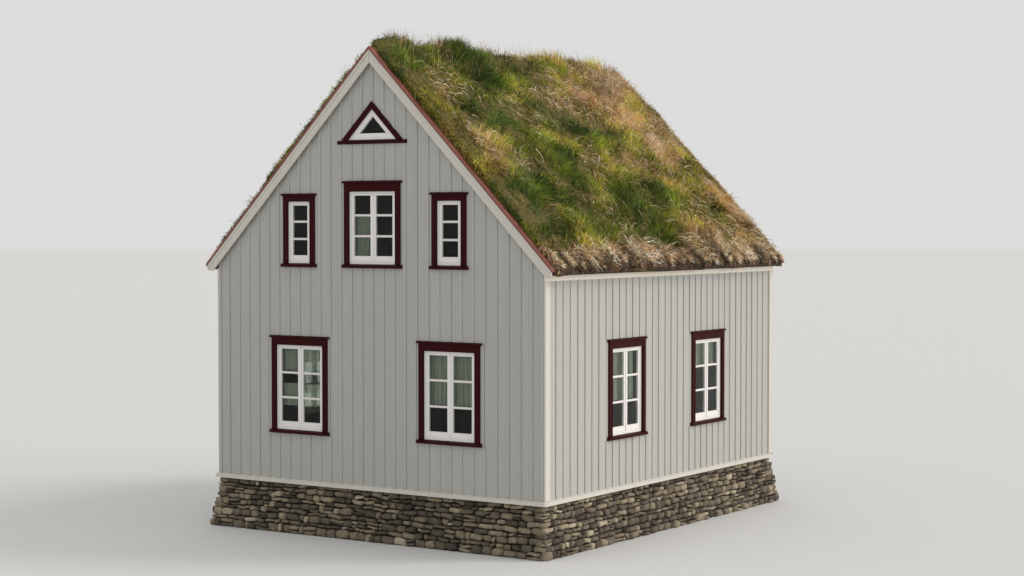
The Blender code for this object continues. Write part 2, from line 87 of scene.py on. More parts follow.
def put_in_scene(name, data):
    """A new object with a mesh, a lamp or a camera for its data."""
    item = bpy.data.objects.new(name, data)
    bpy.context.scene.collection.objects.link(item)
    return item


def place_piece(name, mesh):
    """Puts a mesh in the scene as a piece that rides with the house."""
    piece = put_in_scene(name, mesh)
    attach(piece, "root")
    return piece


def make_piece(name, points, faces, material, smooth=False, tone=None):
    """Makes a piece of points and faces. The tone is one number a point, for the material."""
    mesh = bpy.data.meshes.new(name)
    mesh.from_pydata([tuple(point) for point in points], [], faces)
    if tone is not None:
        layer = mesh.attributes.new("tone", "FLOAT", "POINT")
        layer.data.foreach_set("value", np.asarray(tone, dtype=np.float32))
    mesh.materials.append(material)
    mesh.validate()
    if smooth:
        mesh.shade_smooth()
    return place_piece(name, mesh)


def turned(points, turns):
    """Points set out before the front wall, turned to the wall that they belong to."""
    cos, sin = math.cos(turns * math.pi / 2), math.sin(turns * math.pi / 2)
    across, inward, up = np.array(points).T
    return np.column_stack([across * cos - inward * sin, across * sin + inward * cos, up])


def screen(red, green, blue):
    """A screen colour, 0 to 255, as the linear colour that shaders take."""
    shares = [channel / 255 for channel in (red, green, blue)]
    linear = [s / 12.92 if s <= 0.04045 else ((s + 0.055) / 1.055) ** 2.4 for s in shares]
    return (*linear, 1.0)


class Shading:
    """The node tree of one material or node group, with short ways to add and join its nodes."""

    def __init__(self, tree):
        self.tree = tree

    def add(self, kind, inputs=None, **settings):
        """A new node, with each input set to a value or joined to a source."""
        node = self.tree.nodes.new("ShaderNode" + kind)
        for setting, value in settings.items():
            setattr(node, setting, value)
        self.feed(node, inputs or {})
        return node

    def feed(self, node, inputs):
        for name, source in inputs.items():
            if isinstance(source, bpy.types.NodeSocket):
                self.tree.links.new(source, node.inputs[name])
            else:
                node.inputs[name].default_value = source

    def stretched(self, scale=(1.0, 1.0, 1.0)):
        place = self.add("TexCoord").outputs["Object"]
        return self.add("Mapping", {"Vector": place, "Scale": scale}).outputs["Vector"]

    def noise(self, vector, scale, detail=4.0, roughness=0.6):
        return self.add("TexNoise", {
            "Vector": vector, "Scale": scale, "Detail": detail, "Roughness": roughness,
        }).outputs["Fac"]

    def ramp(self, source, *stops):
        node = self.add("ValToRGB", {"Fac": source})
        elements = node.color_ramp.elements
        while len(elements) < len(stops):
            elements.new(0.5)
        for element, (position, *colour) in zip(elements, stops):
            element.position = position
            element.color = screen(*colour)
        return node.outputs["Color"]

    def spread(self, source, low, high, to_low=0.0, to_high=1.0):
        return self.add("MapRange", {
            "Value": source, "From Min": low, "From Max": high, "To Min": to_low, "To Max": to_high,
        }).outputs["Result"]

    def sum(self, first, second, operation="ADD"):
        return self.add("Math", {0: first, 1: second}, operation=operation).outputs["Value"]

    def times(self, first, second):
        return self.sum(first, second, "MULTIPLY")

    def blend(self, share, first, second, kind="MIX"):
        """A mix of two colours. The node's colour inputs are its seventh and eighth."""
        node = self.add("Mix", data_type="RGBA", blend_type=kind)
        self.feed(node, {0: share, 6: first, 7: second})
        return node.outputs[2]

    def attribute(self, name):
        return self.add("Attribute", attribute_name=name).outputs

    def bump(self, shader, height, strength, distance):
        node = self.add("Bump", {"Height": height, "Strength": strength, "Distance": distance})
        self.feed(shader, {"Normal": node.outputs["Normal"]})


def new_material(name, roughness, inputs=None):
    """A material with its Principled shader, and the tree to build its looks in."""
    material = bpy.data.materials.new(name)
    material.use_nodes = True
    shader = material.node_tree.nodes["Principled BSDF"]
    looks = Shading(material.node_tree)
    looks.feed(shader, {"Roughness": roughness, **(inputs or {})})
    return material, shader, looks


def two_tone_material(name, roughness, stretch, grain, dark, light, relief):
    """A material that goes from dark to light with its own lumps or grain."""
    material, shader, looks = new_material(name, roughness)
    level = looks.noise(looks.stretched(stretch), *grain)
    looks.feed(shader, {"Base Color": looks.ramp(level, (0.3, *dark), (0.7, *light))})
    looks.bump(shader, level, *relief)
    return material


def rubble_material():
    """Grey-brown basalt and sandstone lumps, mottled, with pale patches of lichen."""
    material, shader, looks = new_material("field_stone", 0.92)
    even = looks.stretched()
    base = looks.ramp(
        looks.attribute("tone")["Fac"], (0.00, 70, 62, 51), (0.30, 102, 92, 77),
        (0.55, 132, 120, 99), (0.82, 164, 151, 125), (1.00, 196, 186, 160),
    )
    mottling = looks.spread(looks.noise(even, 19.0, 8.0, 0.7), 0.3, 0.7, 0.55, 1.25)
    mottled = looks.blend(1.0, base, mottling, "MULTIPLY")
    lichen = looks.spread(looks.noise(even, 9.0, 5.0, 0.75), 0.60, 0.70)
    with_lichen = looks.blend(looks.times(lichen, 0.55), mottled, screen(176, 172, 152))
    looks.feed(shader, {"Base Color": with_lichen})
    looks.bump(shader, looks.noise(even, 46.0, 9.0, 0.68), 0.8, 0.02)
    return material


def rounded_block(segments):
    """Points and faces of a block from -0.5 to 0.5 with its corners drawn in, as a stone's start."""
    steps = np.linspace(-0.5, 0.5, segments + 1)
    index = {}
    faces = []
    for axis in range(3):
        for side in (-0.5, 0.5):
            grid = {}
            for i, first in enumerate(steps):
                for j, second in enumerate(steps):
                    point = tuple(np.roll([side, first, second], axis))
                    grid[i, j] = index.setdefault(point, len(index))
            for i in range(segments):
                for j in range(segments):
                    quad = (grid[i, j], grid[i + 1, j], grid[i + 1, j + 1], grid[i, j + 1])
                    faces.append(quad if side > 0 else quad[::-1])
    points = np.array(list(index))
    ball = points / np.linalg.norm(points, axis=1, keepdims=True) * STONE_BALL
    return points * (1.0 - STONE_ROUNDING) + ball * STONE_ROUNDING, np.array(faces)


# Vector noise starts from the clock unless it is seeded, and each run has to give the same house.
noise.seed_set(11)
stone_random = np.random.default_rng(11)
block_points, block_faces = rounded_block(STONE_SEGMENTS)


def lay_stones(turns):
    """Courses of stones along one side, from its left corner to its right, seen from outside."""
    points, faces, tones = [], [], []

    def bed(level, along):
        """Height of the uneven bed between two courses."""
        if level < 0.01 or level > FOUNDATION_TOP - 0.01:
            return level
        place = Vector((along * 1.7, turns * math.pi / 2 * 9.0, level * 23.0))
        return level + COURSE_WANDER * noise.noise(place)

    height = 0.0
    for course_height in STONE_COURSES:
        top = height + course_height
        lean = FOUNDATION_SPREAD * (1.0 - (height + top) / 2 / FOUNDATION_TOP)
        end = HALF_RUNS[turns] + lean
        along = -end
        while along < end - 0.02:
            length = stone_random.uniform(*STONE_LENGTHS)
            if end - (along + length) < STONE_LENGTHS[0]:
                length = end - along
            middle = along + length / 2
            foot, head = bed(height, middle), bed(top, middle)
            split = stone_random.random() < SPLIT_SHARE and head - foot > SPLIT_HEIGHT
            parts = 2 if split else 1
            part_height = (head - foot) / parts
            for part in range(parts):
                size = (length - STONE_JOINT, STONE_DEPTH, part_height - STONE_JOINT * 0.8)
                block = block_points * size * stone_random.uniform(0.97, 1.05, 3)
                shift = stone_random.uniform(-40, 40, 3)
                wobble = np.array([noise.noise_vector(Vector(p * 9.0 + shift)) for p in block])
                block = block + wobble * STONE_WOBBLE
                tilt = stone_random.uniform(-STONE_TILT, STONE_TILT)
                cos, sin = math.cos(tilt), math.sin(tilt)
                block = block @ np.array([(cos, 0.0, sin), (0.0, 1.0, 0.0), (-sin, 0.0, cos)])
                proud = stone_random.uniform(*STONE_PROUD)
                block[:, 0] += middle
                block[:, 1] += -(WALL_FACES[turns] + lean) - proud + STONE_DEPTH / 2
                block[:, 2] += foot + part * part_height + part_height / 2
                block[:, 2] = np.clip(block[:, 2], 0.0, FOUNDATION_TOP - 0.002)
                faces.append(block_faces + len(points) * len(block))
                points.append(turned(block, turns))
                tones.append(np.full(len(block), stone_random.beta(1.6, 1.9)))
            along += length
        height = top
    return np.vstack(points), np.vstack(faces), np.concatenate(tones)


STONE = rubble_material()
for turns, wall in enumerate(WALL_NAMES):
    stone_points, stone_faces, stone_tones = lay_stones(turns)
    make_piece(
        "foundation_stones_" + wall, stone_points, stone_faces.tolist(), STONE,
        smooth=True, tone=stone_tones,
    )


def ring_faces(low, high, count):
    """Faces that join two rings of points, each given by the number of its first point."""
    return [
        (low + corner, low + (corner + 1) % count, high + (corner + 1) % count, high + corner)
        for corner in range(count)
    ]


EARTH = two_tone_material(
    "foundation_core", 1.0, (1.0, 1.0, 1.0), (30.0, 6.0, 0.7), (26, 21, 17), (58, 49, 40), (1.0, 0.02),
)
core_points = [
    (side_x * (half_x - inset_by), side_y * (half_y - inset_by), height)
    for half_x, half_y, inset_by, height in (
        (foundation_high.x, foundation_high.y, CORE_INSET, 0.0),
        (HALF_WIDTH, HALF_LENGTH, CORE_INSET, FOUNDATION_TOP),
        (HALF_WIDTH, HALF_LENGTH, FOUNDATION_RING, FOUNDATION_TOP),
        (HALF_WIDTH, HALF_LENGTH, FOUNDATION_RING, 0.0),
    )
    for side_x, side_y in ((-1, -1), (1, -1), (1, 1), (-1, 1))
]
core_faces = [face for ring in (0, 4, 8, 12) for face in ring_faces(ring, (ring + 4) % 16, 4)]
core = make_piece("foundation_core", core_points, core_faces, EARTH)
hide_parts("stone_foundation")

# Cladding
# Upright sawn boards nailed to the frame, with a narrow batten over every joint, painted a
# pale warm grey. The boards run under the window casings, and the battens stop at them.
BOARD_PITCH = 0.185
BOARD_GAP = 0.006
BOARD_THICKNESS = 0.006
BOARD_LAP = 0.025
BATTEN_WIDTH = 0.046
BATTEN_FRONT = 0.018
BATTEN_FOOT = FOUNDATION_TOP + 0.066
BATTEN_WANDER = 0.006
NAILED_BACK = -0.001
CASING_EAR = 0.045
SILL_COVER = 0.02
HEAD_COVER = 0.06
CORNER_BOARD_WIDTH = 0.11
EAVES_BOARD_HEIGHT = 0.10
ROOF_SLOPE = 1.014
RIDGE_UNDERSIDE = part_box("front_wall")[1].z
SIDE_WALL_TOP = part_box("right_side_boards")[1].z - EAVES_BOARD_HEIGHT + 0.004
WALL_WINDOWS = (
    ("front_ground_left", "front_ground_right", "front_loft_left", "front_loft_centre",
     "front_loft_right"),
    ("right_front", "right_rear"),
    ("rear_ground", "rear_loft_left", "rear_loft_centre", "rear_loft_right"),
    ("left_rear", "left_front"),
)


def inset(outline, distance):
    """A convex outline drawn in by the same distance on every side."""
    corners = np.array(outline, dtype=float)
    following = np.roll(corners, -1, axis=0)
    area = np.sum(corners[:, 0] * following[:, 1] - following[:, 0] * corners[:, 1])
    along = following - corners
    along /= np.linalg.norm(along, axis=1, keepdims=True)
    inward = np.column_stack([-along[:, 1], along[:, 0]]) * np.sign(area)
    sides = np.stack([np.roll(inward, 1, axis=0), inward], axis=1)
    offsets = np.einsum("ijk,ik->ij", sides, corners) + distance
    return np.linalg.solve(sides, offsets[:, :, None])[:, :, 0]


class Joinery:
    """Boards with eased edges, set out on one wall: across it, inward from its face, and up."""

    def __init__(self, turns):
        self.turns = turns
        self.points, self.faces, self.tones = [], [], []
        self.random = np.random.default_rng(100 + turns)

    def add(self, outline, start, end, ease=0.003, lengthwise=False, tone=None):
        """One board: its outline, and where it starts and ends in the third direction."""
        small = inset(outline, ease)
        count, base = len(outline), len(self.points)
        for ring, level in (
            (small, start), (outline, start + ease), (outline, end - ease), (small, end),
        ):
            for first, second in ring:
                place = (level, first, second) if lengthwise else (first, level, second)
                self.points.append(place)
        for low in range(base, base + 3 * count, count):
            self.faces += ring_faces(low, low + count, count)
        self.faces.append(tuple(range(base + count - 1, base - 1, -1)))
        self.faces.append(tuple(range(base + 3 * count, base + 4 * count)))
        self.tones += [self.random.random() if tone is None else tone] * (4 * count)

    def block(self, left, right, near, far, low, high, ease=0.003):
        """A square-cut board."""
        self.add([(left, low), (right, low), (right, high), (left, high)], near, far, ease)

    def rail(self, start, end, front, low, high, fall, ease=0.004, lift=0.0, back=NAILED_BACK):
        """A board along the wall, with its top falling outward and its foot lifted in front."""
        section = [(back, low), (back, high), (-front, high - fall), (-front, low + lift)]
        self.add(section, start, end, ease, lengthwise=True)

    def build(self, name, material, slot, *replaced):
        """Joins the boards into one piece, in the house's own frame."""
        points = turned(np.array(self.points) - (0.0, WALL_FACES[self.turns], 0.0), self.turns)
        piece = make_piece(name, points, self.faces, material, tone=self.tones)
        shape = bmesh.new()
        shape.from_mesh(piece.data)
        bmesh.ops.recalc_face_normals(shape, faces=shape.faces)
        shape.to_mesh(piece.data)
        shape.free()
        if replaced:
            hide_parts(*replaced)


def across_box(node, turns):
    """A node's extent across its wall and up it: left, right, bottom, top."""
    low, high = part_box(node)
    left, right = ((low.x, high.x), (low.y, high.y), (-high.x, -low.x), (-high.y, -low.y))[turns]
    return left, right, low.z, high.z


def under_roof(across):
    """Height of the gable wall's top edge."""
    return RIDGE_UNDERSIDE - ROOF_SLOPE * abs(across)


def constant(value):
    """A level line across a wall."""
    return lambda across: value


def cladding_gaps(turns, lap):
    """Where boards stop on a wall, if they lap under the casings by so much, or battens with
    no lap: left, right, and the lines under and over each gap."""
    gaps = []
    for name in WALL_WINDOWS[turns] + (("rear_door",) if turns == 2 else ()):
        left, right, bottom, top = across_box(name + "_casing", turns)
        if lap:
            side = CASING_EAR + lap
            left, right, bottom, top = left + side, right - side, bottom + SILL_COVER, top - HEAD_COVER
        gaps.append((left, right, constant(bottom), constant(top)))
    if turns in (0, 2):
        _, _, bottom, apex = across_box(WALL_NAMES[turns] + "_attic_casing", turns)
        apex -= lap
        bottom += lap / 2
        reach = (apex - bottom) / ROOF_SLOPE

        def slope(across):
            return max(apex - ROOF_SLOPE * abs(across), bottom)

        gaps.append((-reach, 0.0, constant(bottom), slope))
        gaps.append((0.0, reach, constant(bottom), slope))
    return gaps


def upright_runs(left, right, gaps, bottom, top_line):
    """Splits an upright strip of a wall, at its gaps and under the ridge, into outlines."""
    edges = {0.0}.union(*(gap[:2] for gap in gaps))
    edges = sorted({left, right} | {edge for edge in edges if left < edge < right})
    outlines = []
    for start, end in zip(edges, edges[1:]):
        middle = (start + end) / 2
        met = [gap for gap in gaps if gap[0] < middle < gap[1]]
        met.sort(key=lambda gap: gap[2](middle))
        lows = [constant(bottom)] + [gap[3] for gap in met]
        highs = [gap[2] for gap in met] + [top_line]
        for low, high in zip(lows, highs):
            if high(middle) - low(middle) > 0.02 and end - start > 0.008:
                outlines.append([
                    (start, low(start)), (end, low(end)), (end, high(end)), (start, high(start)),
                ])
    return outlines


def paint_group():
    """Oil paint on sawn wood: grain, streaks of dirt, and the tone of each single board."""
    group = bpy.data.node_groups.new("painted_wood", "ShaderNodeTree")
    face = group.interface
    for name, kind, value in (
        ("Paint", "Color", (0.5, 0.5, 0.5, 1.0)), ("Worn", "Color", (0.4, 0.4, 0.4, 1.0)),
        ("Board Contrast", "Float", 0.1), ("Grain Depth", "Float", 0.5), ("Dirt", "Float", 0.3),
    ):
        socket = face.new_socket(name=name, in_out="INPUT", socket_type="NodeSocket" + kind)
        socket.default_value = value
    for name, kind in (("Colour", "Color"), ("Roughness", "Float"), ("Height", "Float")):
        face.new_socket(name=name, in_out="OUTPUT", socket_type="NodeSocket" + kind)
    looks = Shading(group)
    given = group.nodes.new("NodeGroupInput").outputs
    upright = looks.stretched((1.0, 1.0, 0.06))
    tone = looks.attribute("tone")["Fac"]
    shade = looks.times(looks.sum(tone, 0.5, "SUBTRACT"), given["Board Contrast"])
    grain = looks.noise(upright, 90.0, 6.0, 0.65)
    streaks = looks.spread(looks.noise(upright, 7.0, 6.0, 0.7), 0.42, 0.72)
    blotches = looks.spread(looks.noise(looks.stretched(), 3.5, 7.0, 0.7), 0.45, 0.75)
    soiled = looks.sum(looks.times(streaks, 0.6), looks.times(blotches, 0.5))
    level = looks.sum(looks.sum(shade, 1.0), looks.spread(grain, 0.3, 0.7, -0.02, 0.02))
    tinted = looks.blend(1.0, given["Paint"], level, "MULTIPLY")
    looks.feed(group.nodes.new("NodeGroupOutput"), {
        "Colour": looks.blend(looks.times(soiled, given["Dirt"]), tinted, given["Worn"]),
        "Roughness": looks.spread(soiled, 0.0, 1.0, 0.45, 0.75),
        "Height": looks.times(grain, given["Grain Depth"]),
    })
    return group


PAINTED_WOOD = paint_group()


def paint(name, colour, worn, contrast, grain, dirt, gloss=0.25):
    """One paint finish, from the shared painted wood."""
    material, shader, looks = new_material(name, 0.6, {"Specular IOR Level": gloss})
    wood = looks.add("Group", node_tree=PAINTED_WOOD)
    looks.feed(wood, {
        "Paint": screen(*colour), "Worn": screen(*worn), "Board Contrast": contrast,
        "Grain Depth": grain, "Dirt": dirt,
    })
    looks.feed(shader, {"Base Color": wood.outputs["Colour"], "Roughness": wood.outputs["Roughness"]})
    looks.bump(shader, wood.outputs["Height"], 0.5, 0.004)
    return material


GREY_PAINT = paint("grey_paint", (177, 177, 171), (160, 156, 148), 0.04, 0.7, 0.25)
for turns, wall in enumerate(WALL_NAMES):
    gable = turns % 2 == 0
    half_run = HALF_RUNS[turns] - (0.0 if gable else CORNER_BOARD_WIDTH)
    top_line = under_roof if gable else constant(SIDE_WALL_TOP)
    count = round(2 * half_run / BOARD_PITCH)
    pitch = 2 * half_run / count
    boards = Joinery(turns)
    gaps = cladding_gaps(turns, BOARD_LAP)
    for number in range(count):
        left = -half_run + number * pitch + (BOARD_GAP / 2 if number else 0.0)
        right = -half_run + (number + 1) * pitch - (BOARD_GAP / 2 if number < count - 1 else 0.0)
        shade = boards.random.random()
        proud = BOARD_THICKNESS * boards.random.uniform(0.7, 1.0)
        for outline in upright_runs(left, right, gaps, FOUNDATION_TOP + 0.004, top_line):
            boards.add(outline, -proud, 0.0, 0.001, tone=shade)
    boards.build(wall + "_boards", GREY_PAINT, "grey_cladding")
    battens = Joinery(turns)
    gaps = cladding_gaps(turns, 0.0)
    outermost = half_run - BATTEN_WIDTH / 2
    first = 0 if gable else 1
    for number in range(first, count + 1 - first):
        middle = -half_run + number * pitch
        middle += battens.random.uniform(-BATTEN_WANDER, BATTEN_WANDER)
        middle = min(max(middle, -outermost), outermost)
        left, right = middle - BATTEN_WIDTH / 2, middle + BATTEN_WIDTH / 2
        covered = [
            (min(gap[0], left), max(gap[1], right), *gap[2:])
            if gap[0] < right and gap[1] > left else gap
            for gap in gaps
        ]
        shade = battens.random.random()
        for outline in upright_runs(left, right, covered, BATTEN_FOOT, top_line):
            battens.add(outline, -BATTEN_FRONT, -0.004, 0.004, tone=shade)
    battens.build(wall + "_battens", GREY_PAINT, "grey_cladding")

# White boards
# Planed softwood boards in white gloss-worn paint: the board round the foot of the cladding,
# the corner boards, and the eaves boards that close the side walls, in a lighter white that is
# painted light against the shadow of the turf's overhang.
WHITE_PAINT = paint("white_paint", (207, 203, 193), (182, 175, 158), 0.03, 0.35, 0.25)
# Painted light: the eaves boards' white is lighter than the other white boards, to offset the shadow
# under the turf.
EAVES_PAINT_PAINTED_LIGHT = paint("eaves_paint_painted_light", (238, 231, 215), (204, 195, 176), 0.03, 0.35, 0.20)
BASE_BOARD_FOOT = FOUNDATION_TOP + 0.003
BASE_BOARD_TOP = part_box("base_board")[1].z + 0.002
BASE_BOARD_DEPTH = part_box("base_board")[1].x - HALF_WIDTH
BASE_BOARD_FALL = 0.018
BOARD_LENGTH = 3.4
BUTT_GAP = 0.0008
TRIM_FRONT = 0.030
CORNER_LAP = 0.007


def board_lengths(reach):
    """Start and end of each board in a long run, a hair apart where two are butted."""
    count = max(1, round(2 * reach / BOARD_LENGTH))
    joints = [-reach + 2 * reach * number / count for number in range(count + 1)]
    return [(start + BUTT_GAP, end - BUTT_GAP) for start, end in zip(joints, joints[1:])]


for turns, wall in enumerate(WALL_NAMES):
    foot_boards = Joinery(turns)
    reach = HALF_RUNS[turns] + (BASE_BOARD_DEPTH if turns % 2 == 0 else -0.002)
    for start, end in board_lengths(reach):
        foot_boards.rail(
            start, end, BASE_BOARD_DEPTH, BASE_BOARD_FOOT, BASE_BOARD_TOP, BASE_BOARD_FALL,
            back=-0.004,
        )
    replaced = ["base_board"] if turns == 0 else []
    foot_boards.build("foot_board_" + wall, WHITE_PAINT, "white_trim", *replaced)
for turns in (1, 3):
    wall = WALL_NAMES[turns]
    corner_boards, eaves_boards = Joinery(turns), Joinery(turns)
    _, _, low, high = across_box(wall + "_side_boards", turns)
    eaves_foot = high - EAVES_BOARD_HEIGHT
    end = HALF_LENGTH + CORNER_LAP
    for left, right in (
        (-end, CORNER_BOARD_WIDTH - HALF_LENGTH), (HALF_LENGTH - CORNER_BOARD_WIDTH, end),
    ):
        corner_boards.block(left, right, -TRIM_FRONT, NAILED_BACK, low, eaves_foot - 0.001, 0.004)
    for start, finish in board_lengths(end):
        eaves_boards.block(start, finish, -TRIM_FRONT - 0.006, NAILED_BACK, eaves_foot, high, 0.004)
    corner_boards.build(wall + "_corner_boards", WHITE_PAINT, "white_trim", wall + "_side_boards")
    eaves_boards.build(wall + "_eaves_boards", EAVES_PAINT_PAINTED_LIGHT, "white_trim")

# Window casings
# Dark oxblood boards nailed over the cladding: two uprights, a head with a sloping cap that
# stands past them, and a sill that falls outward. The attic casing is cut to the roof's slope.
OXBLOOD_PAINT = paint("oxblood_paint", (50, 7, 11), (72, 26, 24), 0.10, 0.45, 0.2, 0.08)
CASING_WIDTH = 0.081
CASING_FRONT = 0.030
CASING_SHY = 0.016
BEAD_WIDTH = 0.012
BEAD_FRONT = 0.036
CAP_HEIGHT = 0.035
CAP_FRONT = 0.044
CAP_FALL = 0.013
SILL_FRONT = 0.052
SILL_FALL = 0.016
ATTIC_LAP = 0.022
ATTIC_SILL_FRONT = 0.032
ATTIC_SILL_FALL = 0.010
WINDOWS = [(node, turns) for turns, nodes in enumerate(WALL_WINDOWS) for node in nodes]
GABLES = ((0, "front"), (2, "rear"))


def make_casing(node, turns):
    """The casing boards of one square window or of the door."""
    left, right, bottom, top = across_box(node + "_casing", turns)
    _, _, hole_bottom, hole_top = across_box(node if node == "rear_door" else node + "_frame", turns)
    casing = Joinery(turns)
    outer_left, outer_right = left + CASING_EAR, right - CASING_EAR
    inner_left, inner_right = outer_left + CASING_WIDTH, outer_right - CASING_WIDTH
    low, high = hole_bottom + 0.001, hole_top - 0.001
    for start, end in ((outer_left, inner_left), (inner_right, outer_right)):
        casing.block(start, end, -CASING_FRONT, NAILED_BACK, low, high, 0.004)
    cap_foot = top - CAP_HEIGHT
    casing.block(outer_left, outer_right, -CASING_FRONT, NAILED_BACK, hole_top, cap_foot, 0.004)
    start, end = left + CASING_SHY, right - CASING_SHY
    casing.rail(start, end, CAP_FRONT, cap_foot + 0.001, top, CAP_FALL, 0.003)
    casing.rail(start, end, SILL_FRONT, bottom, hole_bottom, SILL_FALL, 0.004, 0.004)
    for start in (inner_left - BEAD_WIDTH, inner_right):
        casing.block(start, start + BEAD_WIDTH, -BEAD_FRONT, 0.002 - CASING_FRONT, low, high, 0.002)
    casing.build(node + "_casing_boards", OXBLOOD_PAINT, "dark_red_casing", node + "_casing")


def make_attic_casing(wall, turns):
    """The three boards round the attic window."""
    left, right, bottom, top = across_box(wall + "_attic_casing", turns)
    _, hole_right, hole_bottom, hole_top = across_box(wall + "_attic_frame", turns)
    foot = (top - hole_bottom) / ROOF_SLOPE
    casing = Joinery(turns)
    for side in (-1, 1):
        casing.add([
            (side * foot, hole_bottom + 0.001), (side * 0.0005, top - 0.0005 * ROOF_SLOPE),
            (side * 0.0005, hole_top - ATTIC_LAP),
            (side * (hole_right - ATTIC_LAP), hole_bottom + 0.001),
        ], -CASING_FRONT, NAILED_BACK, 0.003)
    casing.rail(
        left + CASING_SHY, right - CASING_SHY, ATTIC_SILL_FRONT, bottom, hole_bottom,
        ATTIC_SILL_FALL, 0.003, 0.003,
    )
    casing.build(
        wall + "_attic_casing_boards", OXBLOOD_PAINT, "dark_red_casing", wall + "_attic_casing",
    )


for node, turns in WINDOWS + [("rear_door", 2)]:
    make_casing(node, turns)
for turns, wall in GABLES:
    make_attic_casing(wall, turns)

# Windows
# A white frame in each hole with one or two casements, three panes high. Each pane of thin
# drawn glass is bedded in putty between narrow bars. The attic window is one fixed light.
SASH_PAINT = paint("sash_paint", (236, 233, 229), (208, 204, 194), 0.02, 0.2, 0.08)
FRAME_EDGE = 0.030
FRAME_DEPTH = 0.060
FRAME_SILL = 0.042
SASH_NEAR = 0.010
SASH_FAR = 0.050
BAR_WIDTH = 0.025
BAR_NEAR = 0.014
BAR_FAR = 0.044
PANE_NEAR = 0.028
PANE_FAR = 0.032
PANE_REBATE = 0.002
PUTTY = 0.007
STILE = 0.072
TOP_RAIL = 0.056
BOTTOM_RAIL = 0.108
MEETING = 0.093
COVER_STRIP = 0.014
PANE_ROWS = 3
SINGLE_WIDTH = 0.6
ATTIC_RAIL = 0.088
ATTIC_DEPTH = 0.050


def glass_material():
    """Thin old window glass with faint waves."""
    material, shader, looks = new_material("window_glass_panes", 0.03, {
        "Base Color": (0.80, 0.88, 0.82, 1.0), "Transmission Weight": 1.0, "IOR": 1.22,
    })
    looks.bump(shader, looks.noise(looks.stretched((1.0, 1.0, 0.6)), 5.0, 2.0, 0.5), 0.12, 0.02)
    return material


WINDOW_GLASS = glass_material()
GLASS_NODES = {
    "front_ground_left": "front_ground_glass", "front_loft_centre": "front_loft_glass",
    "rear_ground": "rear_ground_glass", "rear_loft_centre": "rear_loft_glass",
    "left_front": "left_glass", "right_front": "right_glass",
}


def make_window(node, turns):
    """Frame, casements, bars and panes of one square window."""
    left, right, bottom, top = across_box(node + "_frame", turns)
    wood, glass = Joinery(turns), Joinery(turns)
    inner_left, inner_right = left + FRAME_EDGE, right - FRAME_EDGE
    for start, end in ((left, inner_left), (inner_right, right)):
        wood.block(start, end, 0.0, FRAME_DEPTH, bottom, top)
    for low, high in ((bottom, bottom + FRAME_SILL), (top - FRAME_EDGE, top)):
        wood.block(inner_left, inner_right, 0.0, FRAME_DEPTH, low, high)
    middle = (left + right) / 2
    side = STILE - FRAME_EDGE
    single = right - left < SINGLE_WIDTH
    casements = [(inner_left, inner_right, side, side)] if single else [
        (inner_left, middle - 0.001, side, MEETING / 2),
        (middle + 0.001, inner_right, MEETING / 2, side),
    ]
    sash_low, sash_high = bottom + FRAME_SILL + 0.001, top - FRAME_EDGE - 0.001
    light_low, light_high = bottom + BOTTOM_RAIL, top - TOP_RAIL
    pane_height = (light_high - light_low - (PANE_ROWS - 1) * BAR_WIDTH) / PANE_ROWS
    for start, end, left_stile, right_stile in casements:
        light_left, light_right = start + left_stile, end - right_stile
        for first, second, low, high in (
            (start + 0.001, light_left, sash_low, sash_high),
            (light_right, end - 0.001, sash_low, sash_high),
            (light_left, light_right, sash_low, light_low),
            (light_left, light_right, light_high, sash_high),
        ):
            wood.block(first, second, SASH_NEAR, SASH_FAR, low, high)
        for row in range(PANE_ROWS):
            low = light_low + row * (pane_height + BAR_WIDTH)
            high = low + pane_height
            glass.block(
                light_left - PANE_REBATE, light_right + PANE_REBATE, PANE_NEAR, PANE_FAR,
                low - PANE_REBATE, high + PANE_REBATE, 0.0005,
            )
            if row < PANE_ROWS - 1:
                wood.block(light_left, light_right, BAR_NEAR, BAR_FAR, high, high + BAR_WIDTH, 0.008)
            putty = [
                (PANE_NEAR - 0.0005, low), (PANE_NEAR - 0.0005, low + PUTTY), (BAR_NEAR + 0.004, low),
            ]
            wood.add(putty, light_left, light_right, 0.0008, lengthwise=True)
    if not single:
        wood.block(
            middle - COVER_STRIP, middle + COVER_STRIP, SASH_NEAR - 0.012, SASH_NEAR + 0.002,
            sash_low + 0.004, sash_high - 0.004, 0.004,
        )
    wood.build(node + "_casements", SASH_PAINT, "white_trim", node + "_frame")
    replaced = [GLASS_NODES[node]] if node in GLASS_NODES else []
    glass.build(node + "_panes", WINDOW_GLASS, "window_glass", *replaced)


def make_attic_window(wall, turns):
    """The attic window's fixed frame and its one three-cornered pane."""
    left, right, bottom, top = across_box(wall + "_attic_frame", turns)
    light_bottom = bottom + ATTIC_RAIL
    light_top = top - ATTIC_RAIL * math.hypot(1.0, ROOF_SLOPE)
    light_half = (light_top - light_bottom) / ROOF_SLOPE
    rail_half = (top - light_bottom) / ROOF_SLOPE
    wood, glass = Joinery(turns), Joinery(turns)
    outlines = [[
        (left, bottom), (right, bottom), (rail_half, light_bottom), (-rail_half, light_bottom),
    ]] + [[
        (side * rail_half, light_bottom + 0.0005), (side * 0.0004, top - 0.0004),
        (side * 0.0004, light_top), (side * light_half, light_bottom + 0.0005),
    ] for side in (-1, 1)]
    for outline in outlines:
        wood.add(outline, 0.0, ATTIC_DEPTH, 0.004)
    wood.build(wall + "_attic_light", SASH_PAINT, "white_trim", wall + "_attic_frame")
    glass.add([
        (-light_half - 0.004, light_bottom - PANE_REBATE),
        (light_half + 0.004, light_bottom - PANE_REBATE), (0.0, light_top + 0.004),
    ], PANE_NEAR, PANE_FAR, 0.0005)
    glass.build(wall + "_attic_pane", WINDOW_GLASS, "window_glass")


for node, turns in WINDOWS:
    make_window(node, turns)
for turns, wall in GABLES:
    make_attic_window(wall, turns)

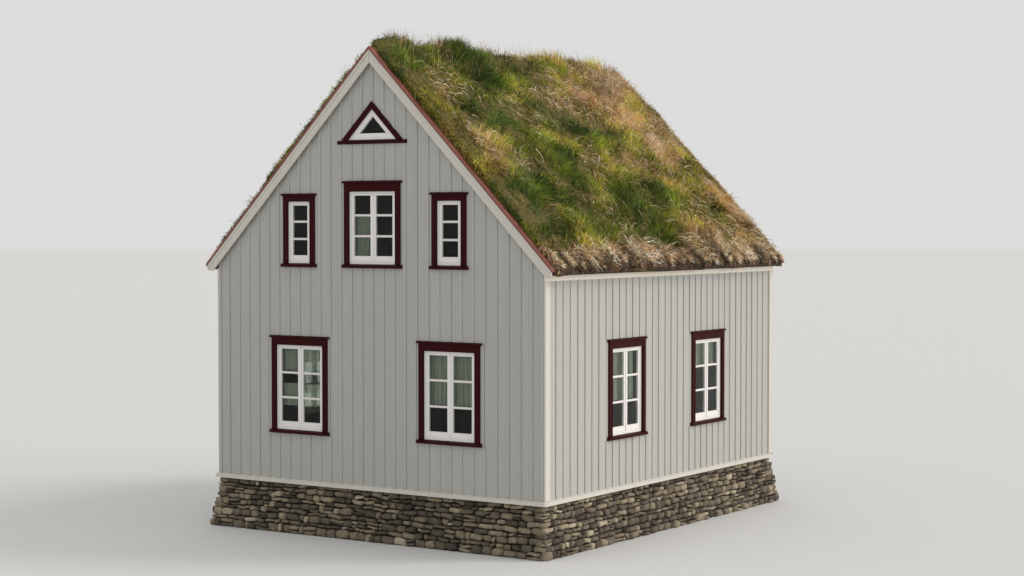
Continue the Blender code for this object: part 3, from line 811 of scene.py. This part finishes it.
# Back door
# A plain framed door of four raised panels, with a lever handle and strap hinges of black iron.
# It is out of the photo's view, so it follows the house's own boards and colours.
DOOR_PAINT = paint("door_paint", (92, 30, 32), (116, 68, 60), 0.06, 0.4, 0.25)
DOOR_STILE = 0.115
DOOR_RAIL = 0.14
DOOR_MUNTIN = 0.045
DOOR_BACK = 0.038
PANEL_MARGIN = 0.035
left, right, bottom, top = across_box("rear_door", 2)
near = HALF_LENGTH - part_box("rear_door")[1].y
far = near + DOOR_BACK
centre = (left + right) / 2
middle_rail = bottom + 0.92
door = Joinery(2)
door.block(left, left + DOOR_STILE, near, far, bottom, top)
door.block(right - DOOR_STILE, right, near, far, bottom, top)
rails = (
    (bottom, bottom + DOOR_RAIL * 1.5), (middle_rail, middle_rail + DOOR_RAIL),
    (top - DOOR_RAIL, top),
)
for low, high in rails:
    door.block(left + DOOR_STILE, right - DOOR_STILE, near, far, low, high)
for (_, low), (high, _) in zip(rails, rails[1:]):
    door.block(centre - DOOR_MUNTIN, centre + DOOR_MUNTIN, near, far, low, high)
    for start, end in (
        (left + DOOR_STILE, centre - DOOR_MUNTIN), (centre + DOOR_MUNTIN, right - DOOR_STILE),
    ):
        door.block(start, end, near + 0.014, far - 0.008, low, high, 0.001)
        door.block(
            start + PANEL_MARGIN, end - PANEL_MARGIN, near + 0.005, near + 0.015,
            low + PANEL_MARGIN, high - PANEL_MARGIN, 0.009,
        )
door.build("rear_door_leaf", DOOR_PAINT, "dark_red_casing", "rear_door")

BLACK_IRON, iron_shader, iron_looks = new_material("black_iron", 0.5, {
    "Metallic": 1.0, "Base Color": screen(58, 56, 54),
})
iron_looks.bump(iron_shader, iron_looks.noise(iron_looks.stretched(), 140.0), 0.4, 0.002)
ironwork = Joinery(2)
lock = right - DOOR_STILE / 2
spindle = middle_rail + 0.1
for start, end, front, back, low, high, ease in (
    (lock - 0.022, lock + 0.022, 0.004, -0.001, middle_rail - 0.02, middle_rail + 0.17, 0.002),
    (lock - 0.006, lock + 0.006, 0.040, 0.003, spindle - 0.006, spindle + 0.006, 0.002),
    (lock - 0.105, lock + 0.008, 0.050, 0.036, spindle - 0.008, spindle + 0.008, 0.005),
):
    ironwork.block(start, end, near - front, near - back, low, high, ease)
for hinge in (bottom + 0.28, top - 0.26):
    ironwork.block(left + 0.004, left + 0.03, near - 0.014, near + 0.001, hinge, hinge + 0.09, 0.005)
    ironwork.block(
        left + 0.02, left + 0.34, near - 0.005, near + 0.001, hinge + 0.028, hinge + 0.062, 0.002,
    )
ironwork.build("rear_door_ironwork", BLACK_IRON, "dark_red_casing")

# Curtains
# Sheer unlined net curtains, gathered on a wire inside each wide window. On the ground floor
# they cover the upper panes, in one or two tiers, and in the lofts they hang at the sides.
NET_CLOTH, net_shader, net_looks = new_material(
    "net_cloth", 0.9, {"Base Color": screen(216, 217, 204)},
)
weave = net_looks.noise(net_looks.stretched(), 260.0, 2.0, 0.5)
net_looks.feed(net_shader, {"Alpha": net_looks.spread(weave, 0.35, 0.65, 0.36, 0.82)})
NET_DEPTH = 0.115
NET_FOLD = 0.024
NET_STEPS = 72
NET_ROWS = 16
NET_MARGIN = 0.03
NET_FOLDS = 11
WIRE = 0.004
TWO_TIER_WINDOWS = ("front_ground_left", "left_front")
TOP_ROW_WINDOWS = ("right_rear", "left_rear")
LOFT_NETS = (0.24, 0.12)


def hang_net(name, turns, left, right, bottom, top, folds, seed):
    """One gathered net, hung in waves from its wire and swinging a little wider at the hem."""
    phase = np.random.default_rng(seed).uniform(0.0, 2 * math.pi, 3)
    down, share = np.mgrid[0:NET_ROWS + 1, 0:NET_STEPS + 1]
    down, share = down / NET_ROWS, share / NET_STEPS
    turn = 2 * math.pi * folds * share
    sway = np.sin(turn + phase[0]) + 0.35 * np.sin(turn * 0.53 + phase[1] + down)
    inward = NET_DEPTH + NET_FOLD * sway * (0.75 + 0.25 * down) - WALL_FACES[turns]
    across = left + (right - left) * share + 0.004 * np.sin(turn * 2 + phase[2]) * down
    height = top - (top - bottom) * down
    points = turned(np.stack([across, inward, height], axis=2).reshape(-1, 3), turns)
    width = NET_STEPS + 1
    corners = np.add.outer(np.arange(NET_ROWS) * width, np.arange(NET_STEPS)).reshape(-1, 1)
    faces = (corners + [0, 1, width + 1, width]).tolist()
    net = make_piece(name, points, faces, NET_CLOTH, smooth=True)
    rows = points.reshape(NET_ROWS + 1, width, 3)
    flat_width = np.linalg.norm(np.diff(rows, axis=1), axis=2).sum(axis=1).mean()


def hang_wire(name, turns, left, right, height):
    """The thin stretched wire that a net hangs on."""
    wire = Joinery(turns)
    wire.block(left, right, NET_DEPTH - WIRE / 2, NET_DEPTH + WIRE / 2, height, height + WIRE, 0.0008)
    wire.build(name + "_curtain_wire", BLACK_IRON, "white_trim")


for node, turns in WINDOWS:
    left, right, bottom, top = across_box(node + "_frame", turns)
    if right - left < SINGLE_WIDTH:
        continue
    seed = len(node) + 7 * turns
    low, high = bottom + BOTTOM_RAIL, top - TOP_RAIL
    row = (high - low) / PANE_ROWS
    wire_ends = (left + 0.02, right - 0.02)
    left += NET_MARGIN
    right -= NET_MARGIN
    if "loft" in node:
        rod = high - row
        hem, head = bottom + 2 * NET_MARGIN, rod + WIRE
        hang_wire(node, turns, *wire_ends, rod)
        hang_net(node + "_net_left", turns, left, left + LOFT_NETS[0], hem, head, 4, seed)
        hang_net(node + "_net_right", turns, right - LOFT_NETS[1], right, hem, head, 3, seed + 1)
        continue
    rod = top - 0.03
    hang_wire(node, turns, *wire_ends, rod)
    if node in TWO_TIER_WINDOWS:
        hang_net(
            node + "_net_upper", turns, left, right, high - row * 0.92, rod + WIRE, NET_FOLDS, seed,
        )
        rod = high - row * 1.44
        hang_wire(node + "_lower", turns, *wire_ends, rod)
        hang_net(
            node + "_lower_net", turns, left, right, high - row * 2.35, rod + WIRE, NET_FOLDS,
            seed + 1,
        )
    else:
        hem = low + row * (2.04 if node in TOP_ROW_WINDOWS else 1.04)
        hang_net(node + "_net", turns, left, right, hem, rod + WIRE, NET_FOLDS, seed)

# Inside
# The walls, floors and roof deck are seen only dimly, through the panes and past the nets:
# plain unpainted boards, dark partly as old wood and partly as painted shade for the unlit rooms.
# Painted shade: the inside boards are darker than the wood alone, for the shade of the rooms.
ROOM_WOOD_PAINTED_SHADE = two_tone_material(
    "unpainted_boards_painted_shade", 0.85, (1.0, 1.0, 0.08), (40.0, 6.0, 0.65), (44, 35, 27), (70, 56, 42),
    (0.4, 0.004),
)
for node in ("front_wall", "rear_wall", "left_wall", "right_wall", "ground_floor", "loft_floor",
             "roof_deck_left", "roof_deck_right"):
    for material_slot in bpy.data.objects[node].material_slots:
        material_slot.material = ROOM_WOOD_PAINTED_SHADE

# Barge boards and verge caps
# Two white boards on each gable follow the roof's slope, over the ends of the deck. A narrow red
# board lies along the top of each and covers the edge of the turf.
VERGE_PAINT = paint("verge_paint", (132, 74, 66), (140, 116, 98), 0.10, 0.45, 0.62)
EAVES_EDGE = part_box("roof_deck_right")[1].x
DECK_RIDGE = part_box("front_barge_boards")[1].z
BARGE_DROP = 0.125 * math.hypot(1.0, ROOF_SLOPE)
BARGE_TIP = EAVES_EDGE - 0.10
FILLET_DROP = 0.052
FILLET_FRONT = 0.009
CAP_JOINT = 0.52


def roof_top(across, lift=0.0):
    """Height of the deck's upper face, or of a line over or under it."""
    return DECK_RIDGE - ROOF_SLOPE * abs(across) + lift


def gable_depths(node):
    """How far inward from the gable's face a node of the roof's edge starts and ends."""
    low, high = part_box(node)
    near = HALF_LENGTH - max(-low.y, high.y)
    return near, near + (high.y - low.y)


for turns, wall in GABLES:
    near, far = gable_depths(wall + "_barge_boards")
    barge = Joinery(turns)
    for side in (-1, 1):
        gap, eaves = side * 0.001, side * EAVES_EDGE
        tip_foot = roof_top(BARGE_TIP, -BARGE_DROP)
        barge.add([
            (gap, roof_top(gap, -BARGE_DROP)), (side * BARGE_TIP, tip_foot), (eaves, tip_foot),
            (eaves, roof_top(eaves)), (gap, roof_top(gap)),
        ], near, far, 0.004)
        barge.add([
            (gap, roof_top(gap, -FILLET_DROP)), (eaves, roof_top(eaves, -FILLET_DROP)),
            (eaves, roof_top(eaves, -0.001)), (gap, roof_top(gap, -0.001)),
        ], near - FILLET_FRONT, near + 0.002, 0.003)
    barge.build(wall + "_bargeboards", WHITE_PAINT, "white_trim", wall + "_barge_boards")
    near, far = gable_depths(wall + "_verge_cap")
    cap_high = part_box(wall + "_verge_cap")[1]
    rise, joint = cap_high.z - DECK_RIDGE, cap_high.x * CAP_JOINT
    caps = Joinery(turns)
    for side in (-1, 1):
        for start, end in ((0.001, joint), (joint + 0.002, cap_high.x)):
            caps.add([
                (side * start, roof_top(start, 0.002)), (side * end, roof_top(end, 0.002)),
                (side * end, roof_top(end, rise)), (side * start, roof_top(start, rise)),
            ], near, far, 0.003)
    caps.build(wall + "_verge_boards", VERGE_PAINT, "red_verge", wall + "_verge_cap")

# Turf
# Two thick layers of cut turf on each slope, grown together: a lumpy mat of roots and earth,
# with dark peat showing at its cut edges over the eaves. It sinks behind the gables' points.
TURF_CUTS = 3
TURF_LUMP = 0.042
TURF_CLOD = 0.020
APEX_DIP = 0.10
APEX_REACH = 0.42


def along_ridge(spot):
    """The place for noise that is drawn out along the ridge, as the strips of turf are laid."""
    return Vector((spot[0], spot[1] * 0.55, spot[2]))


def clipped(value, low=0.0, high=1.0):
    """A number held between two others."""
    return min(max(value, low), high)


def turf_material():
    """Matted roots and dead grass above and on the gable ends, dark peat on the cut eaves."""
    material, shader, looks = new_material("turf_mat", 1.0)
    even = looks.stretched()
    lumps = looks.noise(even, 14.0, 8.0, 0.72)
    mat = looks.ramp(lumps, (0.30, 56, 50, 24), (0.52, 96, 88, 38), (0.72, 146, 118, 68))
    peat = looks.ramp(lumps, (0.36, 24, 16, 12), (0.64, 104, 76, 52))
    normal = looks.add("NewGeometry").outputs["Normal"]
    facing = looks.add("SeparateXYZ", {"Vector": normal}).outputs
    gable_ends = looks.sum(facing["Y"], 0.0, "ABSOLUTE")
    above = looks.spread(looks.sum(facing["Z"], gable_ends, "MAXIMUM"), 0.25, 0.5)
    looks.feed(shader, {"Base Color": looks.blend(above, peat, mat)})
    looks.bump(shader, looks.noise(even, 60.0, 8.0, 0.7), 1.0, 0.02)
    return material


TURF_MAT = turf_material()
turf_meshes = {}
for side, node in ((-1, "turf_left"), (1, "turf_right")):
    shape = bmesh.new()
    shape.from_mesh(bpy.data.objects[node].data)
    bmesh.ops.remove_doubles(shape, verts=shape.verts, dist=0.0002)
    bmesh.ops.subdivide_edges(shape, edges=shape.edges, cuts=TURF_CUTS, use_grid_fill=True)
    bmesh.ops.recalc_face_normals(shape, faces=shape.faces)
    shape.normal_update()
    for vertex in shape.verts:
        spot = vertex.co
        across = abs(spot.x)
        over = spot.z - roof_top(min(across, EAVES_EDGE))
        share = clipped(over / 0.06) if across < EAVES_EDGE else 1.0
        share *= min(across / 0.05, 1.0)
        lump = noise.noise(along_ridge(spot) * 2.4) + 0.5 * noise.noise(along_ridge(spot) * 5.4)
        clod = noise.noise(spot * 13.0) + 0.6 * noise.noise(spot * 27.0)
        to_apex = (HALF_LENGTH + 0.05 - abs(spot.y)) / APEX_REACH
        dip = APEX_DIP * math.exp(-(across / 0.5) ** 2) * max(1.0 - to_apex, 0.0)
        vertex.co += vertex.normal * share * (TURF_LUMP * lump + TURF_CLOD * clod)
        vertex.co.z -= dip * share
    points = [vertex.co[:] for vertex in shape.verts]
    shape.verts.index_update()
    faces = [tuple(vertex.index for vertex in face.verts) for face in shape.faces]
    shape.free()
    turf = make_piece(node + "_mat", points, faces, TURF_MAT, smooth=True)
    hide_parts(node)
    turf_meshes[side] = turf.data

# Roof grass
# Tufts of grass on the turf, each blade its own strip that bends downhill. They are lush and
# dark near the front gable and the foot, dry and reddish farther along, and straw at the eaves.
GRASS_TUFTS = 770
GRASS_BLADES = 40
TUFT_SPREAD = 0.060
VERGE_MARGIN = 0.45
STRAW_STEMS = 8000
SEED_STALKS = 700
FRINGE_BLADES = 5000
CLOD_SPACING = 0.17
CLOD_BLADES = 300
TUFT_WIDTHS = (0.0028, 0.0058)
STRAW_LENGTHS = (0.08, 0.22)
STRAW_WIDTHS = (0.0020, 0.0038)
STALK_LENGTHS = (0.14, 0.30)
STALK_WIDTHS = (0.0018, 0.0032)
FRINGE_LENGTHS = (0.040, 0.095)
FRINGE_WIDTHS = (0.0024, 0.0046)
CLOD_LENGTHS = (0.035, 0.110)
CLOD_WIDTHS = (0.0026, 0.0052)
GRASS_LIMITS = (cad_high.x + 0.10, cad_high.y + 0.02, cad_high.z + 0.17)
UP = np.array([0.0, 0.0, 1.0])
ALONG = np.array([0.0, 1.0, 0.0])
DRY_COLOURS = np.array([
    screen(*colour)[:3] for colour in (
        (74, 94, 40), (112, 126, 40), (150, 152, 50), (190, 168, 80), (200, 154, 106),
        (220, 188, 154), (238, 220, 192),
    )
])
STRAW_COLOURS = DRY_COLOURS[4:]
STRAW_END = 3.05
GRASS, grass_shader, grass_looks = new_material("roof_grass", 0.75, {"Specular IOR Level": 0.2})
grass_looks.feed(grass_shader, {"Base Color": grass_looks.attribute("blade")["Color"]})


def dryness(spot):
    """How dry the grass is at a place: 0 lush, 1 bleached straw."""
    along = (spot.y + HALF_LENGTH) / (2 * HALF_LENGTH)
    down = abs(spot.x) / EAVES_EDGE
    broad = noise.noise(Vector((spot.x * 0.8, spot.y * 0.6, 3.7)))
    patch = noise.noise(Vector((spot.x * 2.1, spot.y * 1.1, 9.1)))
    fine = noise.noise(along_ridge(spot) * 4.6)
    far_end = clipped((along - 0.50) / 0.45) * (1.1 - 0.55 * down)
    eaves = clipped((down - 0.925 + 0.04 * fine) / 0.03)
    lush = 0.24 * math.exp(-((down - 0.76) / 0.16) ** 2) * (1.1 - along)
    dry = 0.20 + 0.42 * broad + 0.44 * patch + 0.30 * fine + 0.45 * far_end - lush
    return dry + (1.0 - dry) * 0.72 * eaves


def tallness(spot):
    """How long the grass grows at a place, in metres: shorter by the verges."""
    place = along_ridge(spot)
    crest = math.exp(-(spot.x / 0.32) ** 2)
    tuft = 0.088 + (0.10 + 0.12 * crest) * noise.noise(place * 2.1)
    tuft += (0.08 + 0.08 * crest) * noise.noise(place * 4.7)
    to_verge = clipped((HALF_LENGTH - abs(spot.y)) / VERGE_MARGIN)
    return clipped(tuft, 0.030, 0.16 + 0.05 * crest) * (0.35 + 0.65 * to_verge)


def painted_clod_shading(spot):
    """Painted light and shade along the eaves: lighter clods, painted shadow in the gaps, darker at
    the foot.
    """
    down = abs(spot.x) / EAVES_EDGE
    clods = 3.2 * noise.noise(Vector((spot.x * 1.5, spot.y * 8.5, 31.0)))
    band, foot = clipped((down - 0.90) / 0.05), clipped((down - 0.96) / 0.04)
    return clipped(1.05 - 0.45 * foot + band * clods, 0.12, 2.1)


def painted_tuft_shading(spot):
    """Painted light and shade in the living grass from tuft to tuft, darker near the verges."""
    place = along_ridge(spot)
    light = 1.12 + 1.2 * noise.noise(place * 3.2) + 1.1 * noise.noise(place * 7.0)
    light -= 0.15 * (abs(spot.y) > HALF_LENGTH - 0.30)
    return clipped(light, 0.36, 2.0) * painted_clod_shading(spot)


def at_each(rule, spots):
    """What a rule gives at each place."""
    return np.array([rule(Vector(spot)) for spot in spots])


def unit(vectors):
    """The vectors at length one."""
    return vectors / np.maximum(np.linalg.norm(vectors, axis=1, keepdims=True), 1e-9)


def along_facing(vectors, facing):
    """The length of each vector along the way that the turf faces."""
    return np.sum(vectors * facing, axis=1, keepdims=True)


def blade_colours(random, dry, count):
    """The colours of a tuft's blades, mixed from their neighbours in dryness."""
    level = np.clip(dry[:, None] + random.normal(0.0, 0.11, (len(dry), count)), 0.0, 1.0)
    place = level.reshape(-1) * (len(DRY_COLOURS) - 1)
    lower = np.floor(place).astype(int).clip(0, len(DRY_COLOURS) - 2)
    share = (place - lower)[:, None]
    mixed = DRY_COLOURS[lower] * (1 - share) + DRY_COLOURS[lower + 1] * share
    return mixed * random.uniform(0.70, 1.47, (len(mixed), 1))


def grow_blades(name, random, roots, growth, fall, lengths, widths, colours, shade):
    """Builds one strip of two quarters and a tip for each blade, as one piece."""
    count = len(roots)
    across = unit(np.cross(growth, random.normal(size=(count, 3))))
    middle = roots + growth * lengths[:, None] * 0.5
    tip = middle + unit(growth * 0.7 + fall) * lengths[:, None] * 0.55
    wide = across * widths[:, None]
    points = np.stack([
        roots - wide, roots + wide, middle + wide * 0.75, middle - wide * 0.75, tip,
    ], axis=1)
    side_limit, end_limit, top_limit = GRASS_LIMITS
    points[:, :, 0] = points[:, :, 0].clip(-side_limit, side_limit)
    points[:, :, 1] = points[:, :, 1].clip(-end_limit, end_limit)
    points[:, :, 2] -= np.maximum(points[:, :, 2] - top_limit, 0.0) * 0.9
    # Painted shade: each blade is darker at its root by the given shade, and a little lighter at its
    # tip.
    shades = np.stack([colours * level for level in (shade, shade, 0.9, 0.9, 1.1)], axis=1)
    blades = np.arange(count)[:, None]
    mesh = bpy.data.meshes.new(name)
    mesh.vertices.add(count * 5)
    mesh.vertices.foreach_set("co", points.reshape(-1))
    mesh.loops.add(count * 7)
    corners = blades * 5 + np.array([0, 1, 2, 3, 3, 2, 4])
    mesh.loops.foreach_set("vertex_index", corners.reshape(-1))
    mesh.polygons.add(count * 2)
    mesh.polygons.foreach_set("loop_start", (blades * 7 + np.array([0, 4])).reshape(-1))
    mesh.update(calc_edges=True)
    layer = mesh.color_attributes.new("blade", "FLOAT_COLOR", "POINT")
    rgba = np.ones((count * 5, 4), dtype=np.float32)
    rgba[:, :3] = np.clip(shades.reshape(-1, 3), 0.0, 1.0)
    layer.data.foreach_set("color", rgba.reshape(-1))
    mesh.materials.append(GRASS)
    mesh.shade_smooth()
    place_piece(name, mesh)


class Slope:
    """One slope's turf mat: where grass can root, and which way is downhill."""

    def __init__(self, side):
        mesh = turf_meshes[side]
        mesh.calc_loop_triangles()
        points = np.array([vertex.co[:] for vertex in mesh.vertices])
        self.triangles = points[[triangle.vertices[:] for triangle in mesh.loop_triangles]]
        first, second, third = self.triangles.transpose(1, 0, 2)
        cross = np.cross(second - first, third - first)
        self.area = np.linalg.norm(cross, axis=1) / 2
        self.normals = cross / np.maximum(self.area[:, None] * 2, 1e-9)
        self.outward = np.array([[side * 1.0, 0.0, 0.0]])
        self.downhill = np.array([[side * 0.70, 0.0, -0.71]])
        across, self.along, up = self.triangles.mean(axis=1).T
        self.across = np.abs(across)
        self.over_deck = up - (DECK_RIDGE - ROOF_SLOPE * self.across)
        outer = (self.normals[:, 2] > 0.15) | (self.across > EAVES_EDGE + 0.02)
        self.weight = self.area * (outer & (self.over_deck > 0.03) & (self.across > 0.01))

    def pick(self, random, count, chance):
        """Random places on the mat, with their normals, by the chance of each triangle."""
        chosen = random.choice(len(chance), count, p=chance / chance.sum())
        corner = np.sort(random.random((count, 2)), axis=1)
        shares = np.column_stack([corner[:, 0], corner[:, 1] - corner[:, 0], 1 - corner[:, 1]])
        return np.einsum("ij,ijk->ik", shares, self.triangles[chosen]), self.normals[chosen]


def noise_field(spots, scale, seed):
    """A smooth random direction at each place, so that neighbouring tufts lean together."""
    shift = Vector((seed, 2.0 * seed, 0.0))
    return np.array([noise.noise_vector(Vector(spot) * scale + shift)[:] for spot in spots])


def tufted_grass(name, slope, random, start, end):
    """Tufts over one part of a slope, from start to end along the ridge."""
    here = (slope.along > start) & (slope.along < end) & (slope.across < EAVES_EDGE - 0.10)
    spots, facing = slope.pick(random, GRASS_TUFTS, slope.weight * here)
    height = at_each(tallness, spots) * random.uniform(0.65, 1.45, GRASS_TUFTS)
    lean = noise_field(spots, 1.6, 5.0) * 0.9 + random.normal(0.0, 0.22, (GRASS_TUFTS, 3))
    repeat = np.repeat(np.arange(GRASS_TUFTS), GRASS_BLADES)
    blades = len(repeat)
    facing = facing[repeat]
    scatter = random.normal(0.0, TUFT_SPREAD, (blades, 3))
    scatter -= facing * along_facing(scatter, facing)
    roots = spots[repeat] + scatter - facing * 0.012
    growth = unit(
        facing * 0.35 + UP * 0.65 + lean[repeat] * 0.75 + random.normal(0.0, 0.26, (blades, 3))
    )
    fall = slope.downhill * random.uniform(0.0, 0.6, (blades, 1)) + lean[repeat] * 0.6
    lengths = height[repeat] * random.uniform(0.6, 1.25, blades)
    widths = random.uniform(*TUFT_WIDTHS, blades)
    colours = blade_colours(random, at_each(dryness, spots), GRASS_BLADES)
    # Painted light and shade: each tuft's blades are made lighter and darker together.
    colours *= at_each(painted_tuft_shading, spots)[repeat][:, None]
    grow_blades(name, random, roots, growth, fall, lengths, widths, colours, 0.55)


def fallen_straw(name, slope, random, count):
    """Long dead stems, combed downhill over the living grass where the roof is dry."""
    here = (slope.normals[:, 2] > 0.3) & (np.abs(slope.along) < STRAW_END)
    spots, facing = slope.pick(random, count * 3, slope.weight * here)
    driest = at_each(dryness, spots) + random.normal(0.0, 0.25, len(spots))
    order = np.argsort(-driest)[:count]
    spots, facing = spots[order], facing[order]
    growth = unit(
        slope.downhill * 0.35 + noise_field(spots, 1.1, 12.0) * 1.1 + facing * 0.25
        + random.normal(0.0, 0.40, (count, 3))
    )
    growth -= facing * np.minimum(along_facing(growth, facing), 0.0)
    lengths = random.uniform(*STRAW_LENGTHS, count)
    widths = random.uniform(*STRAW_WIDTHS, count)
    colours = STRAW_COLOURS[random.integers(0, len(STRAW_COLOURS), count)]
    # Each stem's tone at random, with the painted light and shade of the clods at the eaves.
    colours = colours * random.uniform(0.50, 1.55, (count, 1)) * at_each(painted_clod_shading, spots)[:, None]
    roots = spots + facing * random.uniform(0.02, 0.075, (count, 1))
    fall = slope.downhill * 0.4 - facing * 0.25
    grow_blades(name, random, roots, growth, fall, lengths, widths, colours, 0.9)


def seed_stalks(name, slope, random, count):
    """Thin flowering stems that stand above the grass, most of them along the ridge."""
    here = (0.15 + 3.0 * (slope.across < 0.45)) * (np.abs(slope.along) < STRAW_END)
    spots, facing = slope.pick(random, count, slope.weight * here)
    growth = unit(UP + random.normal(0.0, 0.22, (count, 3)))
    lengths = random.uniform(*STALK_LENGTHS, count)
    widths = random.uniform(*STALK_WIDTHS, count)
    colours = STRAW_COLOURS[random.integers(0, 2, count)] * random.uniform(0.4, 0.8, (count, 1))
    fall = random.normal(0.0, 0.25, (count, 3))
    grow_blades(name, random, spots + facing * 0.01, growth, fall, lengths, widths, colours, 0.8)


def verge_fringe(name, slope, random, count):
    """Short grass on the turf's two end faces, falling over the inner half of the verge boards."""
    here = (np.abs(slope.along) > HALF_LENGTH - 0.055) & (slope.over_deck > 0.045)
    spots, facing = slope.pick(random, count, slope.area * here)
    toward = np.sign(spots[:, 1])[:, None] * ALONG
    growth = unit(
        toward * 0.62 + UP * 0.30 + slope.downhill * 0.35 + random.normal(0.0, 0.30, (count, 3))
    )
    colours = blade_colours(random, at_each(dryness, spots) + 0.12, 1) * 0.90
    lengths = random.uniform(*FRINGE_LENGTHS, count)
    widths = random.uniform(*FRINGE_WIDTHS, count)
    fall = toward * 0.4 - UP * 0.7 + slope.downhill * 0.3
    grow_blades(name, random, spots, growth, fall, lengths, widths, colours, 0.7)


def eaves_clods(name, slope, random, spacing, blades):
    """Clods of straw and roots that bulge and hang over the eaves, side by side."""
    count = int(2 * (HALF_LENGTH - 0.05) / spacing)
    centres = np.linspace(-1.0, 1.0, count) * (HALF_LENGTH - 0.10)
    centres += random.normal(0.0, spacing * 0.25, count)
    size = random.uniform(0.6, 1.35, count)
    repeat = np.repeat(np.arange(count), blades)
    total = len(repeat)
    edge, facing = slope.pick(random, 4000, slope.weight * (slope.across > EAVES_EDGE - 0.13))
    order = np.argsort(edge[:, 1])
    along = centres[repeat] + random.normal(0.0, spacing * 0.27, total) * size[repeat]
    nearest = np.searchsorted(edge[order, 1], along).clip(20, len(edge) - 21)
    picked = order[nearest + random.integers(-20, 20, total)]
    roots = edge[picked].copy()
    roots[:, 1] = along.clip(-HALF_LENGTH - 0.02, HALF_LENGTH + 0.02)
    spread = (along - centres[repeat]) / spacing
    growth = unit(
        facing[picked] * 0.7 + slope.outward * 0.35 - UP * 0.15
        + spread[:, None] * ALONG * 0.7 + random.normal(0.0, 0.28, (total, 3))
    )
    lengths = random.uniform(*CLOD_LENGTHS, total) * size[repeat] * np.exp(-4.5 * spread ** 2)
    widths = random.uniform(*CLOD_WIDTHS, total)
    mixed = STRAW_COLOURS[random.integers(0, len(STRAW_COLOURS), total)]
    # Random tone of each clod and blade, with painted shadow in the gaps between clods and the clods'
    # painted shading.
    tone_and_painted_shade = random.uniform(0.50, 1.60, count)[repeat] * random.uniform(0.75, 1.15, total)
    tone_and_painted_shade *= 0.07 + 1.45 * np.exp(-10.0 * spread ** 2)
    tone_and_painted_shade *= 0.25 + 0.85 * at_each(painted_clod_shading, roots)
    hanging = 0.060 * size[repeat] * np.exp(-7.0 * spread ** 2)
    # Painted shade: blades under the hanging clods are darkened, and kept short.
    shaded_underneath = roots[:, 2] < roof_top(EAVES_EDGE, 0.095) - hanging
    tone_and_painted_shade *= np.where(shaded_underneath, 0.22, 1.0)
    lengths *= np.where(shaded_underneath, 0.5, 1.0)
    fall = -UP * random.uniform(0.0, 0.7, (total, 1))
    grow_blades(name, random, roots, growth, fall, lengths, widths, mixed * tone_and_painted_shade[:, None], 0.4)


for side, slope_name in ((-1, "left"), (1, "right")):
    slope = Slope(side)
    for number, (part, start, end) in enumerate((
        ("front", -HALF_LENGTH - 1.0, -1.1), ("middle", -1.1, 1.1),
        ("rear", 1.1, HALF_LENGTH + 1.0),
    )):
        random = np.random.default_rng(500 + 10 * side + number)
        tufted_grass("grass_" + slope_name + "_" + part, slope, random, start, end)
    random = np.random.default_rng(560 + side)
    fallen_straw("fallen_straw_" + slope_name, slope, random, STRAW_STEMS)
    seed_stalks("seed_stalks_" + slope_name, slope, random, SEED_STALKS)
    verge_fringe("verge_fringe_" + slope_name, slope, random, FRINGE_BLADES)
    eaves_clods("eaves_clods_" + slope_name, slope, random, CLOD_SPACING, CLOD_BLADES)

# Floor, light and camera
# A pale floor and a plain bright surround, two broad soft lights from the right, and the photo's
# own place for the camera with a longer lens turned to the house.
FLOOR_REACH = 500
AMBIENT = 0.75
BACKDROP = 0.72
floor_mesh = bpy.data.meshes.new("studio_floor")
floor_mesh.from_pydata([
    (x * FLOOR_REACH, y * FLOOR_REACH, 0) for x, y in ((-1, -1), (1, -1), (1, 1), (-1, 1))
], [], [(0, 1, 2, 3)])
floor_material, _, _ = new_material("studio_floor", 0.9, {"Base Color": (0.68, 0.68, 0.66, 1.0)})
floor_mesh.materials.append(floor_material)
put_in_scene("studio_floor", floor_mesh)

bpy.context.scene.view_settings.view_transform = "Standard"
world = bpy.data.worlds.new("studio")
bpy.context.scene.world = world
world.use_nodes = True
sky = Shading(world.node_tree)
rays = sky.add("LightPath").outputs
seen = rays["Is Camera Ray"]
for ray in ("Is Glossy Ray", "Is Transmission Ray"):
    seen = sky.sum(seen, rays[ray], "MAXIMUM")
sky.feed(world.node_tree.nodes["Background"], {
    "Color": (1.0, 1.0, 1.0, 1.0), "Strength": sky.spread(seen, 0.0, 1.0, AMBIENT, BACKDROP),
})

for lamp_name, strength, breadth, direction in (
    ("soft_sun", 1.15, 20, (0.66, 0.50, 0.56)),
    ("low_light", 0.95, 25, (0.97, 0.16, 0.10)),
):
    lamp = bpy.data.lights.new(lamp_name, "SUN")
    lamp.energy = strength
    lamp.angle = math.radians(breadth)
    lamp.color = (1.0, 0.935, 0.905)
    lamp_object = put_in_scene(lamp_name, lamp)
    lamp_object.rotation_euler = Vector(direction).to_track_quat("Z", "Y").to_euler()

camera_place = Vector((16.937, -25.544, 4.465))
camera_target = Vector((0.10, 0.0, 3.42))
lens = bpy.data.cameras.new("photo_camera")
lens.lens = 71.0
lens.clip_end = 300.0
camera = put_in_scene("photo_camera", lens)
camera.location = camera_place
camera.rotation_euler = (camera_place - camera_target).to_track_quat("Z", "Y").to_euler()
bpy.context.scene.camera = camera

bpy.context.view_layer.update()
